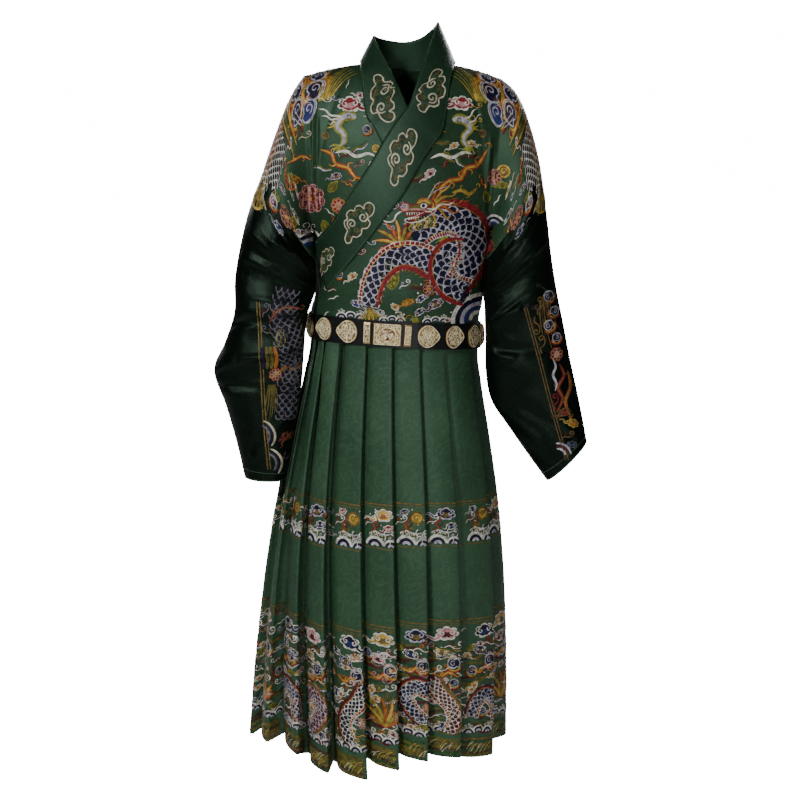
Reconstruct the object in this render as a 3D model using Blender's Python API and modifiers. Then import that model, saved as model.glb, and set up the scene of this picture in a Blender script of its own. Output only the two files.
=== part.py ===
"""Flying fish robe: a crossed collar robe with wide sleeves, a knife-pleated skirt and a plaque belt.

Metres, +Z up. X runs to the viewer's right, the front faces -Y, and the origin is the middle of the
neck at shoulder height. Each cut piece is an open surface worked out from its own section table,
and Solidify gives it its wall, inwards. The designed surface is always the outer face of the cloth.
"""
import math

import bmesh
import bpy
from mathutils import Vector
from mathutils.bvhtree import BVHTree

# Cloth walls and the gap left where two pieces meet
BODY_CLOTH = 0.0014
SLEEVE_CLOTH = 0.0014
SKIRT_CLOTH = 0.0014
COLLAR_CLOTH = 0.0016
SEAM_GAP = 0.0003

# Upper body
WAIST_Z = -0.474
ARMPIT_Z = -0.294
SHOULDER_Z = 0.012
WAIST_X = -0.0095
CHEST_X = 0.002
NECK_X = 0.014
ARMPIT_ROW = 0.30
FRONT_DEPTH = 0.127
BACK_DEPTH = 0.108
NECK_HALF_WIDTH = 0.080
NECK_BACK_DEPTH = 0.055
UNDERLAP = 0.0056
UNDERLAP_LOW = 0.0016
LAPEL_LIFT = 0.0030
NECK_LIFT = 0.0018

# The waist plane leans a little down to the viewer's right and up at the front
TILT_X = -0.06
TILT_Y = -0.08

# Half widths and depths from waist (0) to armpit (1)
TORSO_ROWS = (
    # share, half width right, front depth, back depth, half width left
    (0.00, 0.1555, 0.1180, 0.1080, 0.1555),
    (0.14, 0.1555, 0.1180, 0.1080, 0.1555),
    (0.34, 0.1600, 0.1265, 0.1130, 0.1490),
    (0.60, 0.1605, 0.1285, 0.1120, 0.1560),
    (1.00, 0.1600, FRONT_DEPTH, BACK_DEPTH, 0.1600),
)

# Sleeve sections from the armhole to the cuff. The first four belong to the body pieces.
SLEEVE_RIGHT = (
    # outer x, outer z, inner x, inner z, half depth, middle y
    (0.183, -0.020, 0.1620, -0.294, 0.062, 0.000),
    (0.212, -0.048, 0.1670, -0.2925, 0.061, -0.008),
    (0.236, -0.109, 0.1660, -0.302, 0.059, -0.020),
    (0.253, -0.181, 0.1600, -0.338, 0.057, -0.034),
    (0.265, -0.263, 0.1550, -0.388, 0.055, -0.044),
    (0.273, -0.327, 0.1540, -0.436, 0.053, -0.048),
    (0.284, -0.392, 0.1560, -0.490, 0.050, -0.050),
    (0.298, -0.457, 0.1570, -0.545, 0.047, -0.052),
    (0.310, -0.515, 0.1680, -0.598, 0.044, -0.053),
    (0.324, -0.575, 0.1990, -0.645, 0.041, -0.055),
    (0.336, -0.630, 0.2360, -0.698, 0.038, -0.058),
    (0.344, -0.672, 0.2710, -0.746, 0.036, -0.061),
)
SLEEVE_LEFT = (
    # outer x, outer z, inner x, inner z, half depth, middle y
    (-0.172, -0.014, -0.1600, -0.294, 0.062, 0.000),
    (-0.197, -0.050, -0.1650, -0.2925, 0.061, -0.008),
    (-0.222, -0.112, -0.1640, -0.302, 0.059, -0.020),
    (-0.246, -0.181, -0.1590, -0.338, 0.057, -0.034),
    (-0.276, -0.263, -0.1585, -0.392, 0.055, -0.044),
    (-0.298, -0.364, -0.1700, -0.448, 0.053, -0.048),
    (-0.301, -0.432, -0.1750, -0.502, 0.051, -0.050),
    (-0.319, -0.488, -0.1790, -0.552, 0.050, -0.052),
    (-0.340, -0.540, -0.1850, -0.600, 0.048, -0.054),
    (-0.320, -0.604, -0.1930, -0.642, 0.045, -0.057),
    (-0.301, -0.674, -0.2030, -0.695, 0.040, -0.060),
    (-0.287, -0.739, -0.2120, -0.743, 0.036, -0.063),
)
BODY_SECTIONS = 3

# Largest sleeve folds: from one place to another, in section number and degrees round the tube
FOLDS_RIGHT = (
    # section 1, angle 1, section 2, angle 2, reach, height, face
    (3.6, 150.0, 4.3, 35.0, 0.42, 0.011, -1),
    (4.6, 160.0, 5.0, 50.0, 0.34, -0.009, -1),
    (5.2, 165.0, 5.9, 40.0, 0.45, 0.010, -1),
    (6.6, 170.0, 7.7, 70.0, 0.50, 0.007, -1),
    (4.4, 160.0, 5.6, 60.0, 0.60, 0.008, 1),
)
FOLDS_LEFT = (
    # section 1, angle 1, section 2, angle 2, reach, height, face
    (3.4, 160.0, 4.0, 40.0, 0.40, 0.010, -1),
    (4.1, 165.0, 4.8, 45.0, 0.34, -0.010, -1),
    (4.6, 165.0, 5.9, 30.0, 0.42, 0.011, -1),
    (5.4, 165.0, 7.6, 25.0, 0.40, 0.009, -1),
    (6.4, 160.0, 8.0, 55.0, 0.40, -0.006, -1),
    (4.4, 160.0, 6.0, 60.0, 0.60, 0.008, 1),
)

# Where the cut edges run on the front, x against z
OUTER_FRONT_EDGE = (
    (0.030, 0.092), (-0.025, 0.090), (-0.062, 0.082), (-0.101, 0.069), (-0.130, 0.050),
    (-0.159, 0.030), (-0.219, -0.004), (-0.278, -0.050), (-0.348, -0.105), (-0.393, -0.142),
    (-0.420, -0.170),
)
INNER_FRONT_EDGE = (
    (0.030, -0.064), (-0.028, -0.0625), (-0.054, -0.059), (-0.078, -0.050), (-0.099, -0.039),
    (-0.122, -0.027), (-0.155, -0.006), (-0.190, 0.020), (-0.235, 0.045), (-0.300, 0.062),
    (-0.360, 0.066), (-0.490, 0.066),
)
OUTER_LAPEL_FREE_EDGE = (
    (0.080, 0.070), (0.008, 0.040), (-0.064, 0.0145), (-0.092, -0.008), (-0.160, -0.050),
    (-0.233, -0.097), (-0.277, -0.127), (-0.311, -0.157), (-0.350, -0.200),
)

# The collar is one strip: seam edge and free edge, from the outer end round the neck and inside
COLLAR_FRONT_OUTER = (
    # seam x, seam z, free x, free z
    (-0.1300, -0.393, -0.1560, -0.312),
    (-0.0970, -0.348, -0.1400, -0.291),
    (-0.0700, -0.314, -0.1180, -0.266),
    (-0.0420, -0.278, -0.0970, -0.233),
    (-0.0190, -0.248, -0.0740, -0.197),
    (0.0040, -0.219, -0.0500, -0.160),
    (0.0220, -0.189, -0.0290, -0.124),
    (0.0390, -0.159, -0.0080, -0.092),
    (0.0590, -0.130, 0.0040, -0.077),
    (0.0770, -0.101, 0.0150, -0.063),
)
COLLAR_NECK = (
    # seam x, seam y, free x, free y, free z
    (0.0895, -0.054, 0.0270, -0.0800, -0.030),
    (0.0960, -0.028, 0.0450, -0.0480, 0.021),
    (0.0990, 0.000, 0.0685, 0.0000, 0.080),
    (0.0860, 0.034, 0.0600, 0.0350, 0.071),
    (0.0530, 0.055, 0.0390, 0.0520, 0.055),
    (0.0140, 0.062, 0.0120, 0.0590, 0.047),
    (-0.0250, 0.055, -0.0160, 0.0520, 0.049),
    (-0.0580, 0.034, -0.0380, 0.0350, 0.054),
    (-0.0710, 0.000, -0.0475, 0.0000, 0.057),
    (-0.0700, -0.028, -0.0330, -0.0300, 0.029),
    (-0.0680, -0.052, -0.0160, -0.0560, -0.002),
)
COLLAR_FRONT_INNER = (
    # seam x, seam z, free x, free z
    (-0.0600, -0.078, 0.0000, -0.034),
    (-0.0470, -0.099, 0.0145, -0.064),
    (-0.0350, -0.122, 0.0330, -0.092),
    (-0.0150, -0.155, 0.0500, -0.121),
)

# Skirt: the outer edge of each knife pleat, round the waist and round the hem
HEM_Z = -1.262
HEM_X = -0.043
SKIRT_ROWS = (
    # share, half width, front depth, back depth
    (0.00, 0.1555, 0.1180, 0.1080),
    (0.035, 0.1555, 0.1180, 0.1080),
    (0.12, 0.1660, 0.1270, 0.1160),
    (0.25, 0.1870, 0.1420, 0.1310),
    (0.40, 0.2090, 0.1570, 0.1470),
    (0.60, 0.2300, 0.1730, 0.1640),
    (0.80, 0.2430, 0.1840, 0.1760),
    (1.00, 0.2520, 0.1920, 0.1840),
)
PLEATS = (
    # waist angle, hem angle, hem depth, hem drop, puff
    (-178.0, -169.0, 0.034, -0.002, 0.000),
    (-161.0, -146.0, 0.046, -0.016, 0.000),
    (-147.0, -125.5, 0.050, -0.012, 0.004),
    (-130.5, -110.8, 0.040, 0.014, 0.006),
    (-109.5, -93.8, 0.038, 0.022, 0.000),
    (-91.5, -80.2, 0.034, 0.004, 0.000),
    (-72.5, -67.4, 0.034, -0.008, 0.000),
    (-53.5, -51.0, 0.036, -0.004, 0.000),
    (-26.0, -28.5, 0.036, 0.014, 0.000),
    (-2.0, -7.0, 0.034, 0.002, 0.000),
    (17.0, 12.5, 0.036, -0.002, 0.000),
    (36.0, 32.0, 0.034, 0.004, 0.000),
    (55.0, 51.5, 0.038, 0.000, 0.000),
    (74.0, 71.0, 0.035, -0.003, 0.000),
    (93.0, 90.5, 0.037, 0.003, 0.000),
    (112.0, 110.0, 0.034, 0.000, 0.000),
    (130.0, 131.0, 0.038, -0.004, 0.000),
    (148.0, 151.0, 0.036, 0.002, 0.000),
    (165.0, 171.0, 0.034, 0.000, 0.000),
)
WAIST_PLEAT_DEPTH = 0.0080
WAIST_UNDERLAY = 0.014
HEM_UNDERLAY = 0.011
WAIST_FOLD_RADIUS = 0.0019
HEM_FOLD_RADIUS = 0.0050
HEM_RISE = 0.010
SKIRT_LEVELS = (0.0, 0.035, 0.10, 0.22, 0.38, 0.54, 0.70, 0.85, 1.0)

# Belt
STRAP_HEIGHT = 0.047
STRAP_THICKNESS = 0.0030
STRAP_CLEARANCE = 0.0010
PLAQUE_THICKNESS = 0.0034
PLAQUE_MIDDLE_X = -0.0225
PLAQUES = (
    # name, shape, distance along the belt, width, height, direction
    ("plaque_centre", "rectangle", 0.0000, 0.051, 0.039, 1),
    ("plaque_narrow_left", "rectangle", 0.0365, 0.0135, 0.039, 1),
    ("plaque_narrow_right", "rectangle", -0.0365, 0.0135, 0.039, -1),
    ("plaque_peach_left_1", "peach", 0.0730, 0.047, 0.042, 1),
    ("plaque_peach_left_2", "peach", 0.1250, 0.045, 0.042, 1),
    ("plaque_peach_left_3", "peach", 0.1770, 0.045, 0.042, 1),
    ("plaque_peach_right_1", "peach", -0.0730, 0.047, 0.042, -1),
    ("plaque_peach_right_2", "peach", -0.1250, 0.045, 0.042, -1),
    ("plaque_peach_right_3", "peach", -0.1770, 0.045, 0.042, -1),
    ("plaque_side_left", "rectangle", 0.2170, 0.0135, 0.039, 1),
    ("plaque_side_right", "rectangle", -0.2170, 0.0135, 0.039, -1),
    ("plaque_tongue_left", "tongue", 0.2560, 0.047, 0.039, 1),
    ("plaque_tongue_right", "tongue", -0.2560, 0.047, 0.039, -1),
    ("plaque_back_left_1", "rectangle", 0.3050, 0.038, 0.039, 1),
    ("plaque_back_right_1", "rectangle", -0.3050, 0.038, 0.039, -1),
    ("plaque_back_left_2", "rectangle", 0.3500, 0.038, 0.039, 1),
    ("plaque_back_right_2", "rectangle", -0.3500, 0.038, 0.039, -1),
    ("plaque_back_left_3", "rectangle", 0.3950, 0.038, 0.039, 1),
    ("plaque_back_right_3", "rectangle", -0.3950, 0.038, 0.039, -1),
    ("plaque_back_centre", "rectangle", 0.4370, 0.038, 0.039, 1),
)

FACE_FRONT = -1
FACE_BACK = 1


def mix(a, b, share):
    """Value part of the way from a to b."""
    return a + (b - a) * share


def ease(share):
    """Smooth step held to 0 and 1."""
    share = min(1.0, max(0.0, share))
    return share * share * (3.0 - 2.0 * share)


def row_value(rows, column, where):
    """Smooth value of one column of a table whose first column rises."""
    if where <= rows[0][0]:
        return rows[0][column]
    if where >= rows[-1][0]:
        return rows[-1][column]
    last = len(rows) - 1
    i = 0
    while where > rows[i + 1][0]:
        i += 1
    x0 = rows[i][0]
    x1 = rows[i + 1][0]
    y0 = rows[i][column]
    y1 = rows[i + 1][column]
    width = x1 - x0
    slope = (y1 - y0) / width
    before = slope
    after = slope
    if i > 0:
        before = (y0 - rows[i - 1][column]) / (x0 - rows[i - 1][0])
    if i + 1 < last:
        after = (rows[i + 2][column] - y1) / (rows[i + 2][0] - x1)
    m0 = 0.0 if before * slope <= 0.0 else 2.0 * before * slope / (before + slope)
    m1 = 0.0 if after * slope <= 0.0 else 2.0 * after * slope / (after + slope)
    t = (where - x0) / width
    h00 = 2.0 * t ** 3 - 3.0 * t ** 2 + 1.0
    h10 = t ** 3 - 2.0 * t ** 2 + t
    h01 = -2.0 * t ** 3 + 3.0 * t ** 2
    h11 = t ** 3 - t ** 2
    return h00 * y0 + h10 * width * m0 + h01 * y1 + h11 * width * m1


def edge_x(table, z):
    """X of a cut edge at height z, from a table that falls in z."""
    rows = [(-height, x) for height, x in table]
    return row_value(rows, 1, -z)


def torso_middle(share):
    """Middle x of the upper body between waist and armpit, steady behind the belt."""
    return mix(WAIST_X, CHEST_X, ease((share - 0.14) / 0.86))


def waist_tilt(x, y):
    """Height change of the leaning waist plane."""
    return TILT_X * (x - WAIST_X) + TILT_Y * y


def table_section(table, where):
    """One sleeve section at a fractional place in its table, by Catmull-Rom."""
    last = len(table) - 1
    i = min(last - 1, max(0, int(math.floor(where))))
    t = where - i
    p1 = table[i]
    p2 = table[i + 1]
    p0 = table[i - 1] if i > 0 else tuple(2.0 * a - b for a, b in zip(p1, p2))
    p3 = table[i + 2] if i + 2 <= last else tuple(2.0 * b - a for a, b in zip(p1, p2))
    section = []
    for a, b, c, d in zip(p0, p1, p2, p3):
        value = b + 0.5 * t * (c - a + t * (2.0 * a - 5.0 * b + 4.0 * c - d + t * (3.0 * (b - c) + d - a)))
        section.append(value)
    return section


def sleeve_base(table, where, angle, face):
    """Point on a sleeve before its folds: angle 0 is the outer edge, 180 the inner edge."""
    ox, oz, ix, iz, depth, middle_y = table_section(table, where)
    turn = math.cos(angle)
    reach = abs(math.sin(angle)) ** 0.9
    x = 0.5 * (ox + ix) + 0.5 * (ox - ix) * turn
    z = 0.5 * (oz + iz) + 0.5 * (oz - iz) * turn
    return Vector((x, middle_y + face * depth * reach, z))


def fold_height(folds, where, angle, face):
    """Sum of the large folds at a place on a sleeve."""
    height = 0.0
    degrees = math.degrees(angle)
    for s1, a1, s2, a2, reach, top, fold_face in folds:
        if fold_face != face:
            continue
        du = s2 - s1
        dv = (a2 - a1) / 60.0
        pu = where - s1
        pv = (degrees - a1) / 60.0
        along = (pu * du + pv * dv) / (du * du + dv * dv)
        held = min(1.0, max(0.0, along))
        distance = math.hypot(pu - held * du, pv - held * dv)
        fade = 1.0 - 0.45 * held
        height += top * fade * math.exp(-(distance / reach) ** 2 * 2.2)
    edge = min(1.0, math.sin(angle) / 0.35)
    return height * edge


def sleeve_point(table, folds, where, angle, face):
    """Point on the folded sleeve surface."""
    point = sleeve_base(table, where, angle, face)
    height = fold_height(folds, where, angle, face)
    start = ease((where - 2.2) / 1.2)
    return point + Vector((0.0, face * height * start, 0.0))


def torso_angle(t):
    """Place round the armhole for a row of the upper body: 180 at the armpit, 0 at the shoulder."""
    if t <= ARMPIT_ROW:
        return math.pi
    return math.pi * (1.0 - (t - ARMPIT_ROW) / (1.0 - ARMPIT_ROW))


def torso_centre(t, face):
    """Middle line of the front or back."""
    column = 2 if face == FACE_FRONT else 3
    if t <= ARMPIT_ROW:
        share = t / ARMPIT_ROW
        depth = row_value(TORSO_ROWS, column, share)
        z = mix(WAIST_Z, ARMPIT_Z, share)
        return Vector((torso_middle(share), face * depth, z))
    half = 0.5 * torso_angle(t)
    depth = FRONT_DEPTH if face == FACE_FRONT else BACK_DEPTH
    power = 0.8 if face == FACE_FRONT else 0.6
    z = SHOULDER_Z - (SHOULDER_Z - ARMPIT_Z) * (1.0 - math.cos(half))
    share = (t - ARMPIT_ROW) / (1.0 - ARMPIT_ROW)
    return Vector((mix(CHEST_X, NECK_X, share), face * depth * math.sin(half) ** power, z))


def torso_edge(t, side, face):
    """Side seam below the armpit, armhole line above it."""
    if t <= ARMPIT_ROW:
        share = t / ARMPIT_ROW
        table = SLEEVE_RIGHT if side > 0 else SLEEVE_LEFT
        centre = torso_middle(share)
        half = row_value(TORSO_ROWS, 1 if side > 0 else 4, share)
        x = mix(centre + side * half, table[0][2], ease((share - 0.6) / 0.4))
        return Vector((x, 0.0, mix(WAIST_Z, ARMPIT_Z, share)))
    table = SLEEVE_RIGHT if side > 0 else SLEEVE_LEFT
    return sleeve_base(table, 0.0, torso_angle(t), face)


def torso_point(s, t, face):
    """Point of the upper body. s runs from -1 at the left edge to 1 at the right edge."""
    side = 1 if s >= 0.0 else -1
    share = abs(s)
    centre = torso_centre(t, face)
    edge = torso_edge(t, side, face)
    turn = math.radians(25.0) + math.radians(65.0) * torso_angle(t) / math.pi
    across = math.sin(turn * share) / math.sin(turn)
    out = (math.cos(turn * share) - math.cos(turn)) / (1.0 - math.cos(turn))
    x = centre.x + (edge.x - centre.x) * across
    y = edge.y + (centre.y - edge.y) * out
    fall = 2.2 - 0.9 * torso_angle(t) / math.pi
    z = centre.z + (edge.z - centre.z) * share ** fall
    if t < ARMPIT_ROW:
        z += waist_tilt(x, y) * (1.0 - t / ARMPIT_ROW)
    return Vector((x, y, z))


def torso_normal(s, t, face):
    """Outward normal of the upper body."""
    step = 0.004
    s0 = max(-1.0, s - step)
    s1 = min(1.0, s + step)
    t0 = max(0.0, t - step)
    t1 = min(0.998, t + step)
    across = torso_point(s1, t, face) - torso_point(s0, t, face)
    up = torso_point(s, t1, face) - torso_point(s, t0, face)
    normal = across.cross(up)
    if face == FACE_BACK:
        normal.negate()
    normal.normalize()
    return normal


def crossing(t, table, start, end):
    """Column where a row of the front crosses a cut edge, looking from start towards end."""
    steps = 120
    before = start
    point = torso_point(start, t, FACE_FRONT)
    sign = point.x - edge_x(table, point.z)
    for i in range(1, steps + 1):
        s = mix(start, end, i / steps)
        point = torso_point(s, t, FACE_FRONT)
        value = point.x - edge_x(table, point.z)
        if value * sign <= 0.0:
            low = before
            high = s
            for _ in range(30):
                middle = 0.5 * (low + high)
                point = torso_point(middle, t, FACE_FRONT)
                if (point.x - edge_x(table, point.z)) * sign > 0.0:
                    low = middle
                else:
                    high = middle
            return 0.5 * (low + high)
        before = s
    return end


def neck_crossing(t, side):
    """Column where a row of the back leaves the neck opening."""
    first = side * 0.0022
    for i in range(401):
        s = mix(first, side, i / 400.0)
        point = torso_point(s, t, FACE_BACK)
        inside = ((point.x - NECK_X) / NECK_HALF_WIDTH) ** 2 + (point.y / NECK_BACK_DEPTH) ** 2
        if inside >= 1.0:
            return s
    return side


def underlap(x, z, s):
    """How far the inner front lies beneath the outer front at a place."""
    distance = (edge_x(OUTER_LAPEL_FREE_EDGE, z) - x) * 0.64
    near = 1.0 - ease(distance / 0.050)
    end = 1.0 - ease((abs(s) - 0.93) / 0.07)
    low = UNDERLAP_LOW * ease((-0.34 - z) / 0.04)
    return (UNDERLAP + low) * near * end


def surface_tree(face):
    """Search tree of the whole front or back, for pieces that lie on it."""
    columns = 81
    rows = 121
    points = []
    for j in range(rows):
        for i in range(columns):
            points.append(torso_point(mix(-1.0, 1.0, i / (columns - 1)), j / (rows - 1), face))
    faces = []
    for j in range(rows - 1):
        for i in range(columns - 1):
            a = j * columns + i
            faces.append((a, a + 1, a + columns + 1, a + columns))
    return BVHTree.FromPolygons(points, faces)


def front_place(tree, x, z):
    """Point and outward normal of the front at x and z."""
    place, normal, _, _ = tree.ray_cast(Vector((x, -1.0, z)), Vector((0.0, 1.0, 0.0)))
    if place is None:
        place, normal, _, _ = tree.find_nearest(Vector((x, -0.03, z)))
    if normal.y > 0.0:
        normal = -normal
    return place, normal


def top_place(trees, x, y):
    """Point and upward normal of the shoulders straight below x and y."""
    best = None
    best_normal = None
    for tree in trees:
        place, normal, _, _ = tree.ray_cast(Vector((x, y, 1.0)), Vector((0.0, 0.0, -1.0)))
        if place is not None and (best is None or place.z > best.z):
            best = place
            best_normal = normal if normal.z > 0.0 else -normal
    return best, best_normal


def link(mesh, name, colour, roughness, metallic, collection):
    """Object with its own material in the robe's collection."""
    material = bpy.data.materials.new(name + "_material")
    material.use_nodes = True
    shader = material.node_tree.nodes["Principled BSDF"]
    shader.inputs["Base Color"].default_value = (colour[0], colour[1], colour[2], 1.0)
    shader.inputs["Roughness"].default_value = roughness
    shader.inputs["Metallic"].default_value = metallic
    mesh.materials.append(material)
    obj = bpy.data.objects.new(name, mesh)
    collection.objects.link(obj)
    return obj


def finish_mesh(bm, name):
    """Mesh from a bmesh, with even face directions and smooth shading."""
    mesh = bpy.data.meshes.new(name)
    bm.to_mesh(mesh)
    bm.free()
    mesh.shade_smooth()
    return mesh


def thicken(obj, wall):
    """Wall of the cloth, inwards from the designed surface."""
    shell = obj.modifiers.new("cloth wall", "SOLIDIFY")
    shell.thickness = wall
    shell.offset = -1.0
    shell.use_even_offset = True
    shell.use_rim = True


def grid_faces(bm, rows, flip):
    """Quads between rows of vertices that may differ in length."""
    for lower, upper in zip(rows, rows[1:]):
        for i in range(min(len(lower), len(upper)) - 1):
            corners = [lower[i], lower[i + 1], upper[i + 1], upper[i]]
            if flip:
                corners.reverse()
            bm.faces.new(corners)


def body_rows(side, face, edge_table, columns):
    """Rows of one half of the upper body, waist to shoulder, with the top of the sleeve."""
    table = SLEEVE_RIGHT if side > 0 else SLEEVE_LEFT
    folds = FOLDS_RIGHT if side > 0 else FOLDS_LEFT
    shares = [0.0, 0.05, 0.085, 0.107, 0.13, 0.165, 0.205, 0.25]
    shares += [mix(ARMPIT_ROW, 1.0, i / 11.0) for i in range(12)]
    if face == FACE_BACK:
        shares = shares[:-1]
    rows = []
    for t in shares:
        if face == FACE_FRONT:
            far = -0.905 * side
            start = crossing(t, edge_table, side * 1.0, far)
        else:
            start = neck_crossing(t, side)
        row = []
        for i in range(columns + 1):
            s = mix(start, side, i / columns)
            point = torso_point(s, t, face)
            if face == FACE_FRONT and side < 0:
                point = point - torso_normal(s, t, face) * underlap(point.x, point.z, s)
            if t == 0.0:
                point.z += SEAM_GAP
            row.append(point)
        if t >= ARMPIT_ROW:
            angle = torso_angle(t)
            for k in range(1, BODY_SECTIONS + 1):
                row.append(sleeve_point(table, folds, float(k), angle, face))
        rows.append(row)
    return rows


def make_body(side, name, edge_table, columns, colour, collection):
    """Front and back half in one piece over the shoulder, joined down the side."""
    bm = bmesh.new()
    for face in (FACE_FRONT, FACE_BACK):
        rows = body_rows(side, face, edge_table, columns)
        if face == FACE_BACK:
            top = body_rows(side, FACE_FRONT, edge_table, columns)[-1]
            rows.append(top)
        made = [[bm.verts.new(point) for point in row] for row in rows]
        grid_faces(bm, made, (face == FACE_BACK) != (side < 0))
    bmesh.ops.remove_doubles(bm, verts=bm.verts, dist=0.00002)
    mesh = finish_mesh(bm, name)
    obj = link(mesh, name, colour, 0.45, 0.0, collection)
    thicken(obj, BODY_CLOTH)
    return obj


def make_sleeve(side, name, colour, collection):
    """Sleeve from the body piece to the open cuff, a closed tube of sections."""
    table = SLEEVE_RIGHT if side > 0 else SLEEVE_LEFT
    folds = FOLDS_RIGHT if side > 0 else FOLDS_LEFT
    last = len(table) - 1
    places = [BODY_SECTIONS + 0.014]
    step = BODY_SECTIONS + 0.5
    while step <= last:
        places.append(step)
        step += 0.5
    half = 11
    bm = bmesh.new()
    rings = []
    for where in places:
        ring = []
        for i in range(half + 1):
            ring.append(sleeve_point(table, folds, where, math.pi * i / half, FACE_FRONT))
        for i in range(half - 1, 0, -1):
            ring.append(sleeve_point(table, folds, where, math.pi * i / half, FACE_BACK))
        ring.append(ring[0])
        rings.append(ring)
    made = [[bm.verts.new(point) for point in ring] for ring in rings]
    grid_faces(bm, made, side > 0)
    bmesh.ops.remove_doubles(bm, verts=bm.verts, dist=0.00002)
    mesh = finish_mesh(bm, name)
    obj = link(mesh, name, colour, 0.45, 0.0, collection)
    thicken(obj, SLEEVE_CLOTH)
    return obj


def collar_rows(front_tree, back_tree, across):
    """Rows across the collar strip, each from its seam edge to its free edge."""
    rows = []
    for sx, sz, fx, fz in COLLAR_FRONT_OUTER:
        row = []
        for i in range(across + 1):
            share = i / across
            place, normal = front_place(front_tree, mix(sx, fx, share), mix(sz, fz, share))
            row.append(place + normal * LAPEL_LIFT)
        rows.append(row)
    for sx, sy, fx, fy, fz in COLLAR_NECK:
        place, normal = top_place((front_tree, back_tree), sx, sy)
        seam = place + normal * (LAPEL_LIFT + NECK_LIFT)
        free = Vector((fx, fy, fz))
        row = []
        for i in range(across + 1):
            share = i / across
            point = seam.lerp(free, share)
            point.z += 0.002 * math.sin(math.pi * share)
            row.append(point)
        rows.append(row)
    for sx, sz, fx, fz in COLLAR_FRONT_INNER:
        row = []
        for i in range(across + 1):
            share = i / across
            x = mix(sx, fx, share)
            z = mix(sz, fz, share)
            place, normal = front_place(front_tree, x, z)
            row.append(place + normal * (LAPEL_LIFT - underlap(x, z, 0.0)))
        rows.append(row)
    return rows


def smooth_rows(rows, parts):
    """More rows between the given ones, by Catmull-Rom."""
    result = []
    last = len(rows) - 1
    for i in range(last):
        p0 = rows[max(0, i - 1)]
        p1 = rows[i]
        p2 = rows[i + 1]
        p3 = rows[min(last, i + 2)]
        for step in range(parts):
            t = step / parts
            row = []
            for a, b, c, d in zip(p0, p1, p2, p3):
                row.append(b + 0.5 * t * (c - a + t * (2.0 * a - 5.0 * b + 4.0 * c - d
                                                       + t * (3.0 * (b - c) + d - a))))
            result.append(row)
    result.append(rows[last])
    return result


def make_collar(front_tree, back_tree, collection):
    """The long collar band."""
    rows = smooth_rows(collar_rows(front_tree, back_tree, 4), 2)
    bm = bmesh.new()
    made = [[bm.verts.new(point) for point in row] for row in rows]
    grid_faces(bm, made, False)
    mesh = finish_mesh(bm, "collar")
    obj = link(mesh, "collar", (0.045, 0.115, 0.070), 0.45, 0.0, collection)
    thicken(obj, COLLAR_CLOTH)
    return obj


def skirt_size(level):
    """Half width, front depth, back depth and middle x of the skirt at a level."""
    half = row_value(SKIRT_ROWS, 1, level)
    front = row_value(SKIRT_ROWS, 2, level)
    back = row_value(SKIRT_ROWS, 3, level)
    return half, front, back, mix(WAIST_X, HEM_X, level)


class Path:
    """Closed oval with different depths at front and back, read by distance."""

    def __init__(self, half, front, back, middle):
        self.half = half
        self.front = front
        self.back = back
        self.middle = middle
        self.count = 1440
        self.lengths = [0.0]
        before = self.at_angle(-math.pi)
        for i in range(1, self.count + 1):
            here = self.at_angle(-math.pi + 2.0 * math.pi * i / self.count)
            self.lengths.append(self.lengths[-1] + math.hypot(here[0] - before[0], here[1] - before[1]))
            before = here
        self.total = self.lengths[-1]

    def at_angle(self, angle):
        """Plan point at an angle."""
        depth = self.back if math.sin(angle) > 0.0 else self.front
        return self.middle + self.half * math.cos(angle), depth * math.sin(angle)

    def distance(self, degrees):
        """Distance along the oval at an angle, which may pass a whole turn."""
        turns = math.floor((degrees + 180.0) / 360.0)
        share = (degrees + 180.0) / 360.0 - turns
        place = share * self.count
        i = min(self.count - 1, int(place))
        inside = mix(self.lengths[i], self.lengths[i + 1], place - i)
        return inside + turns * self.total

    def angle(self, distance):
        """Angle in radians at a distance."""
        turns = math.floor(distance / self.total)
        inside = distance - turns * self.total
        low = 0
        high = self.count
        while high - low > 1:
            middle = (low + high) // 2
            if self.lengths[middle] <= inside:
                low = middle
            else:
                high = middle
        width = self.lengths[high] - self.lengths[low]
        share = (inside - self.lengths[low]) / width
        return -math.pi + 2.0 * math.pi * (low + share) / self.count

    def place(self, distance, inward):
        """Plan point at a distance along and a depth inwards."""
        angle = self.angle(distance)
        x, y = self.at_angle(angle)
        depth = self.back if math.sin(angle) > 0.0 else self.front
        tx = -self.half * math.sin(angle)
        ty = depth * math.cos(angle)
        length = math.hypot(tx, ty)
        return x - inward * ty / length, y + inward * tx / length

    def normal(self, distance):
        """Outward plan normal at a distance."""
        x0, y0 = self.place(distance, 0.0)
        x1, y1 = self.place(distance, -1.0)
        return x1 - x0, y1 - y0


def pleat_depth(level, hem_depth):
    """Depth of a pleat from its outer edge to its inner fold at a level."""
    return mix(WAIST_PLEAT_DEPTH, hem_depth, level ** 1.15)


def face_inward(u, level, depth, puff):
    """How far in the face of a pleat lies, u from its inner fold to its outer edge."""
    curve = mix(1.0, 1.45, level)
    bump = puff * math.sin(math.pi * min(1.0, max(0.0, u))) * ease((level - 0.02) / 0.06) * (1.0 - ease(level / 0.5))
    return depth * (1.0 - u) ** curve - bump


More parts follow.
